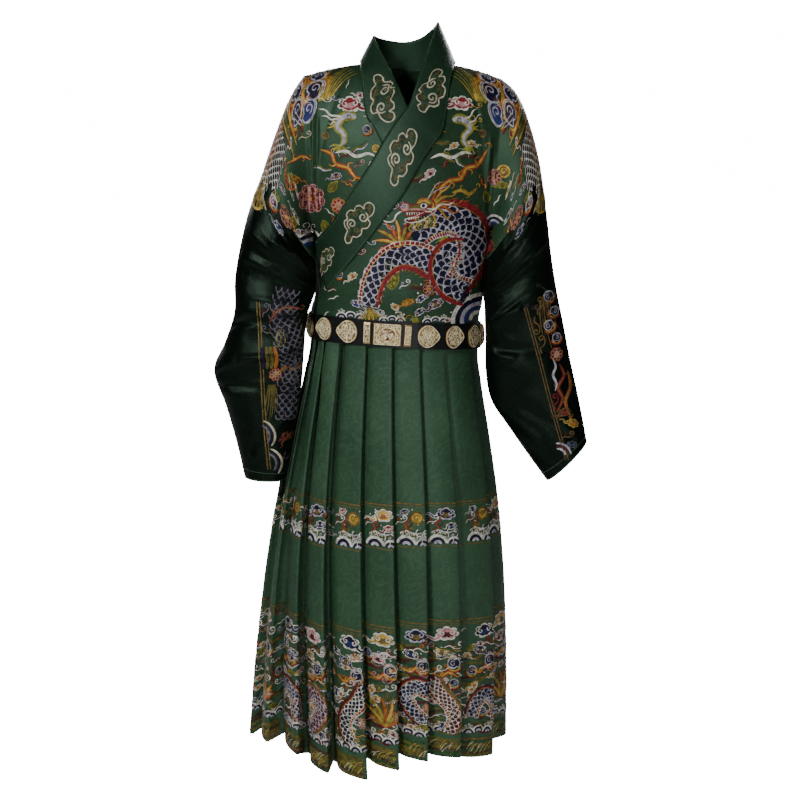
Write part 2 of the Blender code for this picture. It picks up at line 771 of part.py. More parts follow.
def skirt_section(level):
    """Plan outline of the pleated cloth at a level, with each point's hem drop."""
    path = Path(*skirt_size(level))
    count = len(PLEATS)
    radius = mix(WAIST_FOLD_RADIUS, HEM_FOLD_RADIUS, level)
    under = mix(WAIST_UNDERLAY, HEM_UNDERLAY, level ** 0.8)
    outline = []
    for i in range(count):
        row = PLEATS[i]
        before = PLEATS[i - 1]
        after = PLEATS[(i + 1) % count]
        edge = path.distance(mix(row[0], row[1], level))
        previous = path.distance(mix(before[0], before[1], level))
        if i == 0:
            previous -= path.total
        depth = pleat_depth(level, row[2])
        next_depth = pleat_depth(level, after[2])
        start = previous - under
        width = edge - start
        flat = 1.0 - radius / width
        for share in (0.035, 0.20, 0.42, 0.66, 0.86):
            u = share * flat
            inward = face_inward(u, level, depth, row[4])
            outline.append((path.place(start + u * width, inward), row[3] - HEM_RISE * (1.0 - u)))
        centre = edge - radius
        top = face_inward(flat, level, depth, row[4])
        turn = mix(180.0, 112.0, ease(level * 1.3))
        for k in range(4):
            angle = math.radians(turn * k / 3.0)
            along = centre + radius * math.sin(angle)
            inward = top + radius * (1.0 - math.cos(angle))
            outline.append((path.place(along, inward), row[3]))
        fold_gap = mix(0.0006, 0.0030, level)
        inner = edge - under
        outline.append((path.place(inner + 0.02 * under, next_depth * 0.985 - fold_gap), after[3] - HEM_RISE))
    return outline


def skirt_height(level, x, y, drop):
    """Height of a skirt point."""
    z = mix(WAIST_Z - SEAM_GAP, HEM_Z, level)
    z += waist_tilt(x, y) * (1.0 - level) ** 1.5
    return z - drop * level ** 2


def offset_outline(points, wall):
    """Closed plan outline moved to its inner side by the wall."""
    count = len(points)
    moved = []
    for i in range(count):
        ax, ay = points[i - 1]
        bx, by = points[i]
        cx, cy = points[(i + 1) % count]
        ux, uy = bx - ax, by - ay
        vx, vy = cx - bx, cy - by
        ul = math.hypot(ux, uy)
        vl = math.hypot(vx, vy)
        n0 = (-uy / ul, ux / ul)
        n1 = (-vy / vl, vx / vl)
        sx, sy = n0[0] + n1[0], n0[1] + n1[1]
        length = math.hypot(sx, sy)
        cosine = max(0.55, length / 2.0)
        reach = wall / cosine
        moved.append((bx + sx / length * reach, by + sy / length * reach))
    return moved


def make_skirt(collection):
    """Knife-pleated skirt as one closed ring, with its inner face worked out level by level."""
    bm = bmesh.new()
    outer_rings = []
    inner_rings = []
    for level in SKIRT_LEVELS:
        outline = skirt_section(level)
        plan = [point for point, _ in outline]
        inner = offset_outline(plan, SKIRT_CLOTH)
        outer_ring = []
        inner_ring = []
        for (x, y), (ix, iy), (_, drop) in zip(plan, inner, outline):
            z = skirt_height(level, x, y, drop)
            outer_ring.append(bm.verts.new((x, y, z)))
            inner_ring.append(bm.verts.new((ix, iy, z)))
        outer_rings.append(outer_ring)
        inner_rings.append(inner_ring)
    count = len(outer_rings[0])
    for k in range(len(SKIRT_LEVELS) - 1):
        for i in range(count):
            j = (i + 1) % count
            bm.faces.new((outer_rings[k + 1][i], outer_rings[k + 1][j], outer_rings[k][j], outer_rings[k][i]))
            bm.faces.new((inner_rings[k][i], inner_rings[k][j], inner_rings[k + 1][j], inner_rings[k + 1][i]))
    for i in range(count):
        j = (i + 1) % count
        bm.faces.new((outer_rings[0][i], outer_rings[0][j], inner_rings[0][j], inner_rings[0][i]))
        bm.faces.new((outer_rings[-1][j], outer_rings[-1][i], inner_rings[-1][i], inner_rings[-1][j]))
    mesh = finish_mesh(bm, "skirt")
    return link(mesh, "skirt", (0.050, 0.120, 0.078), 0.45, 0.0, collection)


def belt_path(extra):
    """Oval of the belt, let out by some clearance."""
    half = TORSO_ROWS[0][1] + extra
    return Path(half, TORSO_ROWS[0][2] + extra, TORSO_ROWS[0][3] + extra, WAIST_X)


def make_strap(collection):
    """Leather strap round the waist."""
    inner = belt_path(STRAP_CLEARANCE)
    outer = belt_path(STRAP_CLEARANCE + STRAP_THICKNESS)
    bm = bmesh.new()
    rings = []
    segments = 60
    for i in range(segments):
        angle = -math.pi + 2.0 * math.pi * (i + 0.5) / segments
        ix, iy = inner.at_angle(angle)
        ox, oy = outer.at_angle(angle)
        iz = WAIST_Z + waist_tilt(ix, iy)
        oz = WAIST_Z + waist_tilt(ox, oy)
        half = 0.5 * STRAP_HEIGHT
        corners = ((ix, iy, iz - half), (ox, oy, oz - half), (ox, oy, oz + half), (ix, iy, iz + half))
        rings.append([bm.verts.new(corner) for corner in corners])
    for i in range(segments):
        here = rings[i]
        there = rings[(i + 1) % segments]
        for k in range(4):
            n = (k + 1) % 4
            bm.faces.new((here[k], there[k], there[n], here[n]))
    bmesh.ops.recalc_face_normals(bm, faces=bm.faces)
    mesh = finish_mesh(bm, "belt_strap")
    mesh.set_sharp_from_angle(angle=math.radians(40.0))
    return link(mesh, "belt_strap", (0.010, 0.010, 0.012), 0.5, 0.0, collection)


def plaque_outline(shape, width, height):
    """Outline of a plaque, lying along x and standing along y."""
    half_w = 0.5 * width
    half_h = 0.5 * height
    if shape == "rectangle":
        cut = 0.0012
        return [
            (-half_w + cut, -half_h), (half_w - cut, -half_h), (half_w, -half_h + cut),
            (half_w, half_h - cut), (half_w - cut, half_h), (-half_w + cut, half_h),
            (-half_w, half_h - cut), (-half_w, -half_h + cut),
        ]
    outline = []
    count = 22
    for i in range(count):
        angle = 2.0 * math.pi * i / count
        c = math.cos(angle)
        s = math.sin(angle)
        if shape == "peach":
            point_reach = max(0.0, c) ** 6 * 0.16
            shoulder = 1.0 - 0.20 * max(0.0, c) ** 1.5
            outline.append((half_w * (c * 0.84 + point_reach), half_h * s * shoulder))
        else:
            square = (abs(c) ** 4 + abs(s) ** 4) ** -0.25
            blend = ease(0.5 + c)
            outline.append((half_w * c * mix(square, 1.0, blend), half_h * s * mix(square, 1.0, blend)))
    return outline


def make_plaque(row, path, start, collection):
    """One metal plaque, flat, standing tangent to the strap."""
    name, shape, along, width, height, direction = row
    outline = plaque_outline(shape, width, height)
    if direction < 0:
        outline = [(-x, y) for x, y in reversed(outline)]
    bm = bmesh.new()
    base = [bm.verts.new((x, y, 0.0)) for x, y in outline]
    shoulder = [bm.verts.new((x, y, PLAQUE_THICKNESS - 0.0010)) for x, y in outline]
    inset = 1.0 - 0.0011 / (0.5 * min(width, height))
    crown = [bm.verts.new((x * inset, y * inset, PLAQUE_THICKNESS)) for x, y in outline]
    count = len(outline)
    for lower, upper in ((base, shoulder), (shoulder, crown)):
        for i in range(count):
            j = (i + 1) % count
            bm.faces.new((lower[i], lower[j], upper[j], upper[i]))
    bm.faces.new(list(reversed(base)))
    bm.faces.new(crown)
    distance = start + along
    px, py = path.place(distance, 0.0)
    nx, ny = path.normal(distance)
    right = Vector((-ny, nx, 0.0))
    normal = Vector((nx, ny, 0.0))
    right.z = waist_tilt(px + right.x, py + right.y) - waist_tilt(px, py)
    right.normalize()
    up = normal.cross(right)
    origin = Vector((px, py, WAIST_Z + waist_tilt(px, py))) + normal * SEAM_GAP
    for vert in bm.verts:
        x, y, z = vert.co
        vert.co = origin + right * x + up * y + normal * z
    bmesh.ops.recalc_face_normals(bm, faces=bm.faces)
    mesh = finish_mesh(bm, name)
    mesh.set_sharp_from_angle(angle=math.radians(30.0))
    return link(mesh, name, (0.62, 0.50, 0.26), 0.35, 1.0, collection)


def make_robe():
    """All pieces of the robe and its belt."""
    for obj in list(bpy.data.objects):
        bpy.data.objects.remove(obj, do_unlink=True)
    collection = bpy.data.collections.new("flying fish robe")
    bpy.context.scene.collection.children.link(collection)
    green = (0.045, 0.110, 0.068)
    make_body(1, "body_left", OUTER_FRONT_EDGE, 11, green, collection)
    make_body(-1, "body_right", INNER_FRONT_EDGE, 10, green, collection)
    make_sleeve(1, "sleeve_left", green, collection)
    make_sleeve(-1, "sleeve_right", green, collection)
    front_tree = surface_tree(FACE_FRONT)
    back_tree = surface_tree(FACE_BACK)
    make_collar(front_tree, back_tree, collection)
    make_skirt(collection)
    make_strap(collection)
    path = belt_path(STRAP_CLEARANCE + STRAP_THICKNESS)
    start = path.distance(math.degrees(-math.acos((PLAQUE_MIDDLE_X - WAIST_X) / path.half)))
    for row in PLAQUES:
        make_plaque(row, path, start, collection)


make_robe()
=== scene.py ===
"""Looks of the flying fish robe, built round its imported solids.

Metres, +Z up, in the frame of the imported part: X to the viewer's right, the front faces -Y.
The cloth is worked out again from the part's own section tables, on finer rows and with soft
creases. Embroidery is thin thread work laid on the cloth, drawn in millimetres on flat canvases.
"""
import math
import random
from bisect import bisect_left, bisect_right

import bmesh
import bpy
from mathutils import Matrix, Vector, noise
from mathutils.bvhtree import BVHTree
from mathutils.geometry import delaunay_2d_cdt


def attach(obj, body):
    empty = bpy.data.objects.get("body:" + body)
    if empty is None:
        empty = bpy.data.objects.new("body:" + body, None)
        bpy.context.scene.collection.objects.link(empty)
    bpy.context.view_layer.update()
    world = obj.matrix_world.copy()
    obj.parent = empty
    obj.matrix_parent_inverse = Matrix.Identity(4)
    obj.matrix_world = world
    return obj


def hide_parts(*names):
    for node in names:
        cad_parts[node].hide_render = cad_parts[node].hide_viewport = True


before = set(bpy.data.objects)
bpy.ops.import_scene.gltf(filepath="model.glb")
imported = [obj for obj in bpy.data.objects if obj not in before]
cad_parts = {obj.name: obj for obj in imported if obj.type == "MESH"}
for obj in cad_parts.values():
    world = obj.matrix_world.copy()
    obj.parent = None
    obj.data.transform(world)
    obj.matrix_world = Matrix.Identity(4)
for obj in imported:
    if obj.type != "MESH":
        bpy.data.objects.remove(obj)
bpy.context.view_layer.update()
BODY = "root"

# Cloth walls, the skirt's thin so that its pleats stay open, and the gap left where two pieces meet
BODY_CLOTH = 0.0014
SLEEVE_CLOTH = 0.0014
SKIRT_CLOTH = 0.0008
COLLAR_CLOTH = 0.0016
SEAM_GAP = 0.0003

# Upper body
WAIST_Z = -0.474
ARMPIT_Z = -0.294
SHOULDER_Z = 0.012
WAIST_X = -0.0095
CHEST_X = 0.002
NECK_X = 0.014
ARMPIT_ROW = 0.30
FRONT_DEPTH = 0.127
BACK_DEPTH = 0.108
NECK_HALF_WIDTH = 0.080
NECK_BACK_DEPTH = 0.055
UNDERLAP = 0.0056
UNDERLAP_LOW = 0.0016
LAPEL_LIFT = 0.0030
NECK_LIFT = 0.0018

# The waist plane leans a little down to the viewer's right and up at the front
TILT_X = -0.06
TILT_Y = -0.08

# Half widths and depths from waist (0) to armpit (1)
TORSO_ROWS = (
    # share, half width right, front depth, back depth, half width left
    (0.00, 0.1555, 0.1180, 0.1080, 0.1555),
    (0.14, 0.1555, 0.1180, 0.1080, 0.1555),
    (0.34, 0.1600, 0.1265, 0.1130, 0.1490),
    (0.60, 0.1605, 0.1285, 0.1120, 0.1560),
    (1.00, 0.1600, FRONT_DEPTH, BACK_DEPTH, 0.1600),
)

# Sleeve sections from the armhole to the cuff. The first four belong to the body pieces.
# In the names of the sleeve, fold, crease and crumple tables, right and left are the viewer's.
SLEEVE_RIGHT = (
    # outer x, outer z, inner x, inner z, half depth, middle y
    (0.183, -0.020, 0.1620, -0.294, 0.062, 0.000),
    (0.212, -0.048, 0.1670, -0.2925, 0.061, -0.008),
    (0.236, -0.109, 0.1660, -0.302, 0.059, -0.020),
    (0.253, -0.181, 0.1600, -0.338, 0.057, -0.034),
    (0.265, -0.263, 0.1550, -0.388, 0.055, -0.044),
    (0.273, -0.327, 0.1540, -0.436, 0.053, -0.048),
    (0.284, -0.392, 0.1560, -0.490, 0.050, -0.050),
    (0.298, -0.457, 0.1570, -0.545, 0.047, -0.052),
    (0.310, -0.515, 0.1680, -0.598, 0.044, -0.053),
    (0.324, -0.575, 0.1990, -0.645, 0.041, -0.055),
    (0.336, -0.630, 0.2360, -0.698, 0.038, -0.058),
    (0.344, -0.672, 0.2710, -0.746, 0.036, -0.061),
)
SLEEVE_LEFT = (
    # outer x, outer z, inner x, inner z, half depth, middle y
    (-0.172, -0.014, -0.1600, -0.294, 0.062, 0.000),
    (-0.197, -0.050, -0.1650, -0.2925, 0.061, -0.008),
    (-0.222, -0.112, -0.1640, -0.302, 0.059, -0.020),
    (-0.246, -0.181, -0.1590, -0.338, 0.057, -0.034),
    (-0.276, -0.263, -0.1585, -0.392, 0.055, -0.044),
    (-0.298, -0.364, -0.1700, -0.448, 0.053, -0.048),
    (-0.301, -0.432, -0.1750, -0.502, 0.051, -0.050),
    (-0.319, -0.488, -0.1790, -0.552, 0.050, -0.052),
    (-0.340, -0.540, -0.1850, -0.600, 0.048, -0.054),
    (-0.320, -0.604, -0.1930, -0.642, 0.045, -0.057),
    (-0.301, -0.674, -0.2030, -0.695, 0.040, -0.060),
    (-0.287, -0.739, -0.2120, -0.743, 0.036, -0.063),
)
BODY_SECTIONS = 3

# Largest sleeve folds: from one place to another, in section number and degrees round the tube
FOLDS_RIGHT = (
    # section 1, angle 1, section 2, angle 2, reach, height, face
    (3.6, 150.0, 4.3, 35.0, 0.42, 0.011, -1),
    (4.6, 160.0, 5.0, 50.0, 0.34, -0.009, -1),
    (5.2, 165.0, 5.9, 40.0, 0.45, 0.010, -1),
    (6.6, 170.0, 7.7, 70.0, 0.50, 0.007, -1),
    (4.4, 160.0, 5.6, 60.0, 0.60, 0.008, 1),
)
FOLDS_LEFT = (
    # section 1, angle 1, section 2, angle 2, reach, height, face
    (3.4, 160.0, 4.0, 40.0, 0.40, 0.010, -1),
    (4.1, 165.0, 4.8, 45.0, 0.34, -0.010, -1),
    (4.6, 165.0, 5.9, 30.0, 0.42, 0.011, -1),
    (5.4, 165.0, 7.6, 25.0, 0.40, 0.009, -1),
    (6.4, 160.0, 8.0, 55.0, 0.40, -0.006, -1),
    (4.4, 160.0, 6.0, 60.0, 0.60, 0.008, 1),
)

# Where the cut edges run on the front, x against z
OUTER_FRONT_EDGE = (
    (0.030, 0.092), (-0.025, 0.090), (-0.062, 0.082), (-0.101, 0.069), (-0.130, 0.050),
    (-0.159, 0.030), (-0.219, -0.004), (-0.278, -0.050), (-0.348, -0.105), (-0.393, -0.142),
    (-0.420, -0.170),
)
INNER_FRONT_EDGE = (
    (0.030, -0.064), (-0.028, -0.0625), (-0.054, -0.059), (-0.078, -0.050), (-0.099, -0.039),
    (-0.122, -0.027), (-0.155, -0.006), (-0.190, 0.020), (-0.235, 0.045), (-0.300, 0.062),
    (-0.360, 0.066), (-0.490, 0.066),
)
OUTER_LAPEL_FREE_EDGE = (
    (0.080, 0.070), (0.008, 0.040), (-0.064, 0.0145), (-0.092, -0.008), (-0.160, -0.050),
    (-0.233, -0.097), (-0.277, -0.127), (-0.311, -0.157), (-0.350, -0.200),
)

# The collar is one strip: seam edge and free edge, from the outer end round the neck and inside
COLLAR_FRONT_OUTER = (
    # seam x, seam z, free x, free z
    (-0.1300, -0.393, -0.1560, -0.312),
    (-0.0970, -0.348, -0.1400, -0.291),
    (-0.0700, -0.314, -0.1180, -0.266),
    (-0.0420, -0.278, -0.0970, -0.233),
    (-0.0190, -0.248, -0.0740, -0.197),
    (0.0040, -0.219, -0.0500, -0.160),
    (0.0220, -0.189, -0.0290, -0.124),
    (0.0390, -0.159, -0.0080, -0.092),
    (0.0590, -0.130, 0.0040, -0.077),
    (0.0770, -0.101, 0.0150, -0.063),
)
COLLAR_NECK = (
    # seam x, seam y, free x, free y, free z
    (0.0895, -0.054, 0.0270, -0.0800, -0.030),
    (0.0960, -0.028, 0.0450, -0.0480, 0.021),
    (0.0990, 0.000, 0.0685, 0.0000, 0.080),
    (0.0860, 0.034, 0.0600, 0.0350, 0.071),
    (0.0530, 0.055, 0.0390, 0.0520, 0.055),
    (0.0140, 0.062, 0.0120, 0.0590, 0.047),
    (-0.0250, 0.055, -0.0160, 0.0520, 0.049),
    (-0.0580, 0.034, -0.0380, 0.0350, 0.054),
    (-0.0710, 0.000, -0.0475, 0.0000, 0.057),
    (-0.0700, -0.028, -0.0330, -0.0300, 0.029),
    (-0.0680, -0.052, -0.0160, -0.0560, -0.002),
)
COLLAR_FRONT_INNER = (
    # seam x, seam z, free x, free z
    (-0.0600, -0.078, 0.0000, -0.034),
    (-0.0470, -0.099, 0.0145, -0.064),
    (-0.0350, -0.122, 0.0330, -0.092),
    (-0.0150, -0.155, 0.0500, -0.121),
)

# Skirt: the outer edge of each knife pleat, round the waist and round the hem
HEM_Z = -1.262
HEM_X = -0.043
SKIRT_ROWS = (
    # share, half width, front depth, back depth
    (0.00, 0.1555, 0.1180, 0.1080),
    (0.035, 0.1555, 0.1180, 0.1080),
    (0.12, 0.1660, 0.1270, 0.1160),
    (0.25, 0.1870, 0.1420, 0.1310),
    (0.40, 0.2090, 0.1570, 0.1470),
    (0.60, 0.2300, 0.1730, 0.1640),
    (0.80, 0.2430, 0.1840, 0.1760),
    (1.00, 0.2520, 0.1920, 0.1840),
)
PLEATS = (
    # waist angle, hem angle, hem depth, hem drop, puff
    (-178.0, -169.0, 0.034, -0.002, 0.000),
    (-161.0, -146.0, 0.046, -0.016, 0.000),
    (-147.0, -125.5, 0.050, -0.012, 0.004),
    (-130.5, -110.8, 0.040, 0.014, 0.006),
    (-109.5, -93.8, 0.038, 0.022, 0.000),
    (-91.5, -80.2, 0.034, 0.004, 0.000),
    (-72.5, -67.4, 0.034, -0.008, 0.000),
    (-53.5, -51.0, 0.036, -0.004, 0.000),
    (-26.0, -28.5, 0.036, 0.014, 0.000),
    (-2.0, -7.0, 0.034, 0.002, 0.000),
    (17.0, 12.5, 0.036, -0.002, 0.000),
    (36.0, 32.0, 0.034, 0.004, 0.000),
    (55.0, 51.5, 0.038, 0.000, 0.000),
    (74.0, 71.0, 0.035, -0.003, 0.000),
    (93.0, 90.5, 0.037, 0.003, 0.000),
    (112.0, 110.0, 0.034, 0.000, 0.000),
    (130.0, 131.0, 0.038, -0.004, 0.000),
    (148.0, 151.0, 0.036, 0.002, 0.000),
    (165.0, 171.0, 0.034, 0.000, 0.000),
)
WAIST_PLEAT_DEPTH = 0.0080
WAIST_UNDERLAY = 0.014
HEM_UNDERLAY = 0.011
WAIST_FOLD_RADIUS = 0.0019
HEM_FOLD_RADIUS = 0.0050
HEM_RISE = 0.010

# Belt
STRAP_THICKNESS = 0.0030
STRAP_CLEARANCE = 0.0010
PLAQUE_THICKNESS = 0.0034
PLAQUE_MIDDLE_X = -0.0225
PLAQUES = (
    # name, shape, distance along the belt, width, height, direction
    ("plaque_centre", "rectangle", 0.0000, 0.051, 0.039, 1),
    ("plaque_narrow_left", "rectangle", 0.0365, 0.0135, 0.039, 1),
    ("plaque_narrow_right", "rectangle", -0.0365, 0.0135, 0.039, -1),
    ("plaque_peach_left_1", "peach", 0.0730, 0.047, 0.042, 1),
    ("plaque_peach_left_2", "peach", 0.1250, 0.045, 0.042, 1),
    ("plaque_peach_left_3", "peach", 0.1770, 0.045, 0.042, 1),
    ("plaque_peach_right_1", "peach", -0.0730, 0.047, 0.042, -1),
    ("plaque_peach_right_2", "peach", -0.1250, 0.045, 0.042, -1),
    ("plaque_peach_right_3", "peach", -0.1770, 0.045, 0.042, -1),
    ("plaque_side_left", "rectangle", 0.2170, 0.0135, 0.039, 1),
    ("plaque_side_right", "rectangle", -0.2170, 0.0135, 0.039, -1),
    ("plaque_tongue_left", "tongue", 0.2560, 0.047, 0.039, 1),
    ("plaque_tongue_right", "tongue", -0.2560, 0.047, 0.039, -1),
    ("plaque_back_left_1", "rectangle", 0.3050, 0.038, 0.039, 1),
    ("plaque_back_right_1", "rectangle", -0.3050, 0.038, 0.039, -1),
    ("plaque_back_left_2", "rectangle", 0.3500, 0.038, 0.039, 1),
    ("plaque_back_right_2", "rectangle", -0.3500, 0.038, 0.039, -1),
    ("plaque_back_left_3", "rectangle", 0.3950, 0.038, 0.039, 1),
    ("plaque_back_right_3", "rectangle", -0.3950, 0.038, 0.039, -1),
    ("plaque_back_centre", "rectangle", 0.4370, 0.038, 0.039, 1),
)

FACE_FRONT = -1
FACE_BACK = 1
MM = 0.001
DEGREES_A_SECTION = 60.0


def mix(a, b, share):
    """Value part of the way from a to b."""
    return a + (b - a) * share


def clamp(value):
    """Value held to 0 and 1."""
    return min(1.0, max(0.0, value))


def ease(share):
    """Smooth step held to 0 and 1."""
    share = clamp(share)
    return share * share * (3.0 - 2.0 * share)


def smooth(a, b, c, d, t):
    """Value between b and c on a Catmull-Rom curve through all four."""
    return b + 0.5 * t * (c - a + t * (2.0 * a - 5.0 * b + 4.0 * c - d + t * (3.0 * (b - c) + d - a)))


def running(points):
    """Running length along plan points."""
    lengths = [0.0]
    for a, b in zip(points, points[1:]):
        lengths.append(lengths[-1] + math.hypot(b[0] - a[0], b[1] - a[1]))
    return lengths


def spaced(points):
    """Running length along points in space."""
    lengths = [0.0]
    for a, b in zip(points, points[1:]):
        lengths.append(lengths[-1] + (b - a).length)
    return lengths


def interval(lengths, distance):
    """Which step of a line a distance along it falls in."""
    return min(len(lengths) - 2, max(0, bisect_left(lengths, distance) - 1))


def row_value(rows, column, where):
    """Smooth value of one column of a table whose first column rises."""
    if where <= rows[0][0]:
        return rows[0][column]
    if where >= rows[-1][0]:
        return rows[-1][column]
    last = len(rows) - 1
    i = 0
    while where > rows[i + 1][0]:
        i += 1
    x0 = rows[i][0]
    x1 = rows[i + 1][0]
    y0 = rows[i][column]
    y1 = rows[i + 1][column]
    width = x1 - x0
    slope = (y1 - y0) / width
    before = slope
    after = slope
    if i > 0:
        before = (y0 - rows[i - 1][column]) / (x0 - rows[i - 1][0])
    if i + 1 < last:
        after = (rows[i + 2][column] - y1) / (rows[i + 2][0] - x1)
    m0 = 0.0 if before * slope <= 0.0 else 2.0 * before * slope / (before + slope)
    m1 = 0.0 if after * slope <= 0.0 else 2.0 * after * slope / (after + slope)
    t = (where - x0) / width
    h00 = 2.0 * t ** 3 - 3.0 * t ** 2 + 1.0
    h10 = t ** 3 - 2.0 * t ** 2 + t
    h01 = -2.0 * t ** 3 + 3.0 * t ** 2
    h11 = t ** 3 - t ** 2
    return h00 * y0 + h10 * width * m0 + h01 * y1 + h11 * width * m1


def edge_x(table, z):
    """X of a cut edge at height z, from a table that falls in z."""
    rows = [(-height, x) for height, x in table]
    return row_value(rows, 1, -z)


def torso_middle(share):
    """Middle x of the upper body between waist and armpit, steady behind the belt."""
    return mix(WAIST_X, CHEST_X, ease((share - 0.14) / 0.86))


def waist_tilt(x, y):
    """Height change of the leaning waist plane."""
    return TILT_X * (x - WAIST_X) + TILT_Y * y


def table_section(table, where):
    """One sleeve section at a fractional place in its table."""
    last = len(table) - 1
    i = min(last - 1, max(0, int(math.floor(where))))
    p1 = table[i]
    p2 = table[i + 1]
    p0 = table[i - 1] if i > 0 else tuple(2.0 * a - b for a, b in zip(p1, p2))
    p3 = table[i + 2] if i + 2 <= last else tuple(2.0 * b - a for a, b in zip(p1, p2))
    return [smooth(a, b, c, d, where - i) for a, b, c, d in zip(p0, p1, p2, p3)]


def sleeve_base(table, where, angle, face):
    """Point on a sleeve before its folds: angle 0 is the outer edge, 180 the inner edge."""
    ox, oz, ix, iz, depth, middle_y = table_section(table, where)
    turn = math.cos(angle)
    reach = abs(math.sin(angle)) ** 0.9
    x = 0.5 * (ox + ix) + 0.5 * (ox - ix) * turn
    z = 0.5 * (oz + iz) + 0.5 * (oz - iz) * turn
    return Vector((x, middle_y + face * depth * reach, z))


def beside_fold(ends, u, v, stretch):
    """How far along a fold a place lies, 0 to 1, and how far beside it."""
    u1, v1, u2, v2 = ends
    du = u2 - u1
    dv = (v2 - v1) / stretch
    pu = u - u1
    pv = (v - v1) / stretch
    held = clamp((pu * du + pv * dv) / (du * du + dv * dv))
    return held, math.hypot(pu - held * du, pv - held * dv)


def fold_height(folds, where, angle, face):
    """Sum of the large folds at a place on a sleeve."""
    height = 0.0
    for *ends, reach, top, fold_face in folds:
        if fold_face == face:
            held, distance = beside_fold(ends, where, math.degrees(angle), DEGREES_A_SECTION)
            height += top * (1.0 - 0.45 * held) * math.exp(-(distance / reach) ** 2 * 2.2)
    return height * sleeve_edge(angle)


def sleeve_edge(angle):
    """Share of the folds that is left near the outer and inner edge of a sleeve."""
    return min(1.0, math.sin(angle) / 0.35)


def sleeve_point(table, folds, where, angle, face):
    """Point on the folded sleeve surface."""
    point = sleeve_base(table, where, angle, face)
    height = fold_height(folds, where, angle, face)
    start = ease((where - 2.2) / 1.2)
    return point + Vector((0.0, face * height * start, 0.0))


def torso_angle(t):
    """Place round the armhole for a row of the upper body: 180 at the armpit, 0 at the shoulder."""
    if t <= ARMPIT_ROW:
        return math.pi
    return math.pi * (1.0 - (t - ARMPIT_ROW) / (1.0 - ARMPIT_ROW))


def torso_centre(t, face):
    """Middle line of the front or back."""
    column = 2 if face == FACE_FRONT else 3
    if t <= ARMPIT_ROW:
        share = t / ARMPIT_ROW
        depth = row_value(TORSO_ROWS, column, share)
        z = mix(WAIST_Z, ARMPIT_Z, share)
        return Vector((torso_middle(share), face * depth, z))
    half = 0.5 * torso_angle(t)
    depth = FRONT_DEPTH if face == FACE_FRONT else BACK_DEPTH
    power = 0.8 if face == FACE_FRONT else 0.6
    z = SHOULDER_Z - (SHOULDER_Z - ARMPIT_Z) * (1.0 - math.cos(half))
    share = (t - ARMPIT_ROW) / (1.0 - ARMPIT_ROW)
    return Vector((mix(CHEST_X, NECK_X, share), face * depth * math.sin(half) ** power, z))


def torso_edge(t, side, face):
    """Side seam below the armpit, armhole line above it."""
    table = SLEEVE_RIGHT if side > 0 else SLEEVE_LEFT
    if t > ARMPIT_ROW:
        return sleeve_base(table, 0.0, torso_angle(t), face)
    share = t / ARMPIT_ROW
    half = row_value(TORSO_ROWS, 1 if side > 0 else 4, share)
    x = mix(torso_middle(share) + side * half, table[0][2], ease((share - 0.6) / 0.4))
    return Vector((x, 0.0, mix(WAIST_Z, ARMPIT_Z, share)))


def torso_point(s, t, face):
    """Point of the upper body. s runs from -1 at the left edge to 1 at the right edge."""
    side = 1 if s >= 0.0 else -1
    share = abs(s)
    centre = torso_centre(t, face)
    edge = torso_edge(t, side, face)
    turn = math.radians(25.0) + math.radians(65.0) * torso_angle(t) / math.pi
    across = math.sin(turn * share) / math.sin(turn)
    out = (math.cos(turn * share) - math.cos(turn)) / (1.0 - math.cos(turn))
    x = centre.x + (edge.x - centre.x) * across
    y = edge.y + (centre.y - edge.y) * out
    fall = 2.2 - 0.9 * torso_angle(t) / math.pi
    z = centre.z + (edge.z - centre.z) * share ** fall
    if t < ARMPIT_ROW:
        z += waist_tilt(x, y) * (1.0 - t / ARMPIT_ROW)
    return Vector((x, y, z))


def torso_normal(s, t, face):
    """Outward normal of the upper body."""
    step = 0.004
    s0 = max(-1.0, s - step)
    s1 = min(1.0, s + step)
    t0 = max(0.0, t - step)
    t1 = min(0.998, t + step)
    across = torso_point(s1, t, face) - torso_point(s0, t, face)
    up = torso_point(s, t1, face) - torso_point(s, t0, face)
    normal = across.cross(up)
    if face == FACE_BACK:
        normal.negate()
    normal.normalize()
    return normal


def crossing(t, table, start, end):
    """Column where a row of the front crosses a cut edge, looking from start towards end."""
    def beyond(s):
        """How far a column lies beyond the edge."""
        point = torso_point(s, t, FACE_FRONT)
        return point.x - edge_x(table, point.z)

    steps = 120
    low = start
    sign = beyond(start)
    for i in range(1, steps + 1):
        high = mix(start, end, i / steps)
        if beyond(high) * sign <= 0.0:
            for _ in range(30):
                middle = 0.5 * (low + high)
                if beyond(middle) * sign > 0.0:
                    low = middle
                else:
                    high = middle
            return 0.5 * (low + high)
        low = high
    return end


def neck_crossing(t, side):
    """Column where a row of the back leaves the neck opening."""
    first = side * 0.0022
    for i in range(401):
        s = mix(first, side, i / 400.0)
        point = torso_point(s, t, FACE_BACK)
        inside = ((point.x - NECK_X) / NECK_HALF_WIDTH) ** 2 + (point.y / NECK_BACK_DEPTH) ** 2
        if inside >= 1.0:
            return s
    return side


def underlap(x, z, s):
    """How far the inner front lies beneath the outer front at a place."""
    distance = (edge_x(OUTER_LAPEL_FREE_EDGE, z) - x) * 0.64
    near = 1.0 - ease(distance / 0.050)
    end = 1.0 - ease((abs(s) - 0.93) / 0.07)
    low = UNDERLAP_LOW * ease((-0.34 - z) / 0.04)
    return (UNDERLAP + low) * near * end


def surface_tree(face):
    """Search tree of the whole front or back, for pieces that lie on it."""
    columns = 81
    rows = 121
    points = []
    for j in range(rows):
        for i in range(columns):
            points.append(torso_point(mix(-1.0, 1.0, i / (columns - 1)), j / (rows - 1), face))
    faces = []
    for j in range(rows - 1):
        for i in range(columns - 1):
            a = j * columns + i
            faces.append((a, a + 1, a + columns + 1, a + columns))
    return BVHTree.FromPolygons(points, faces)


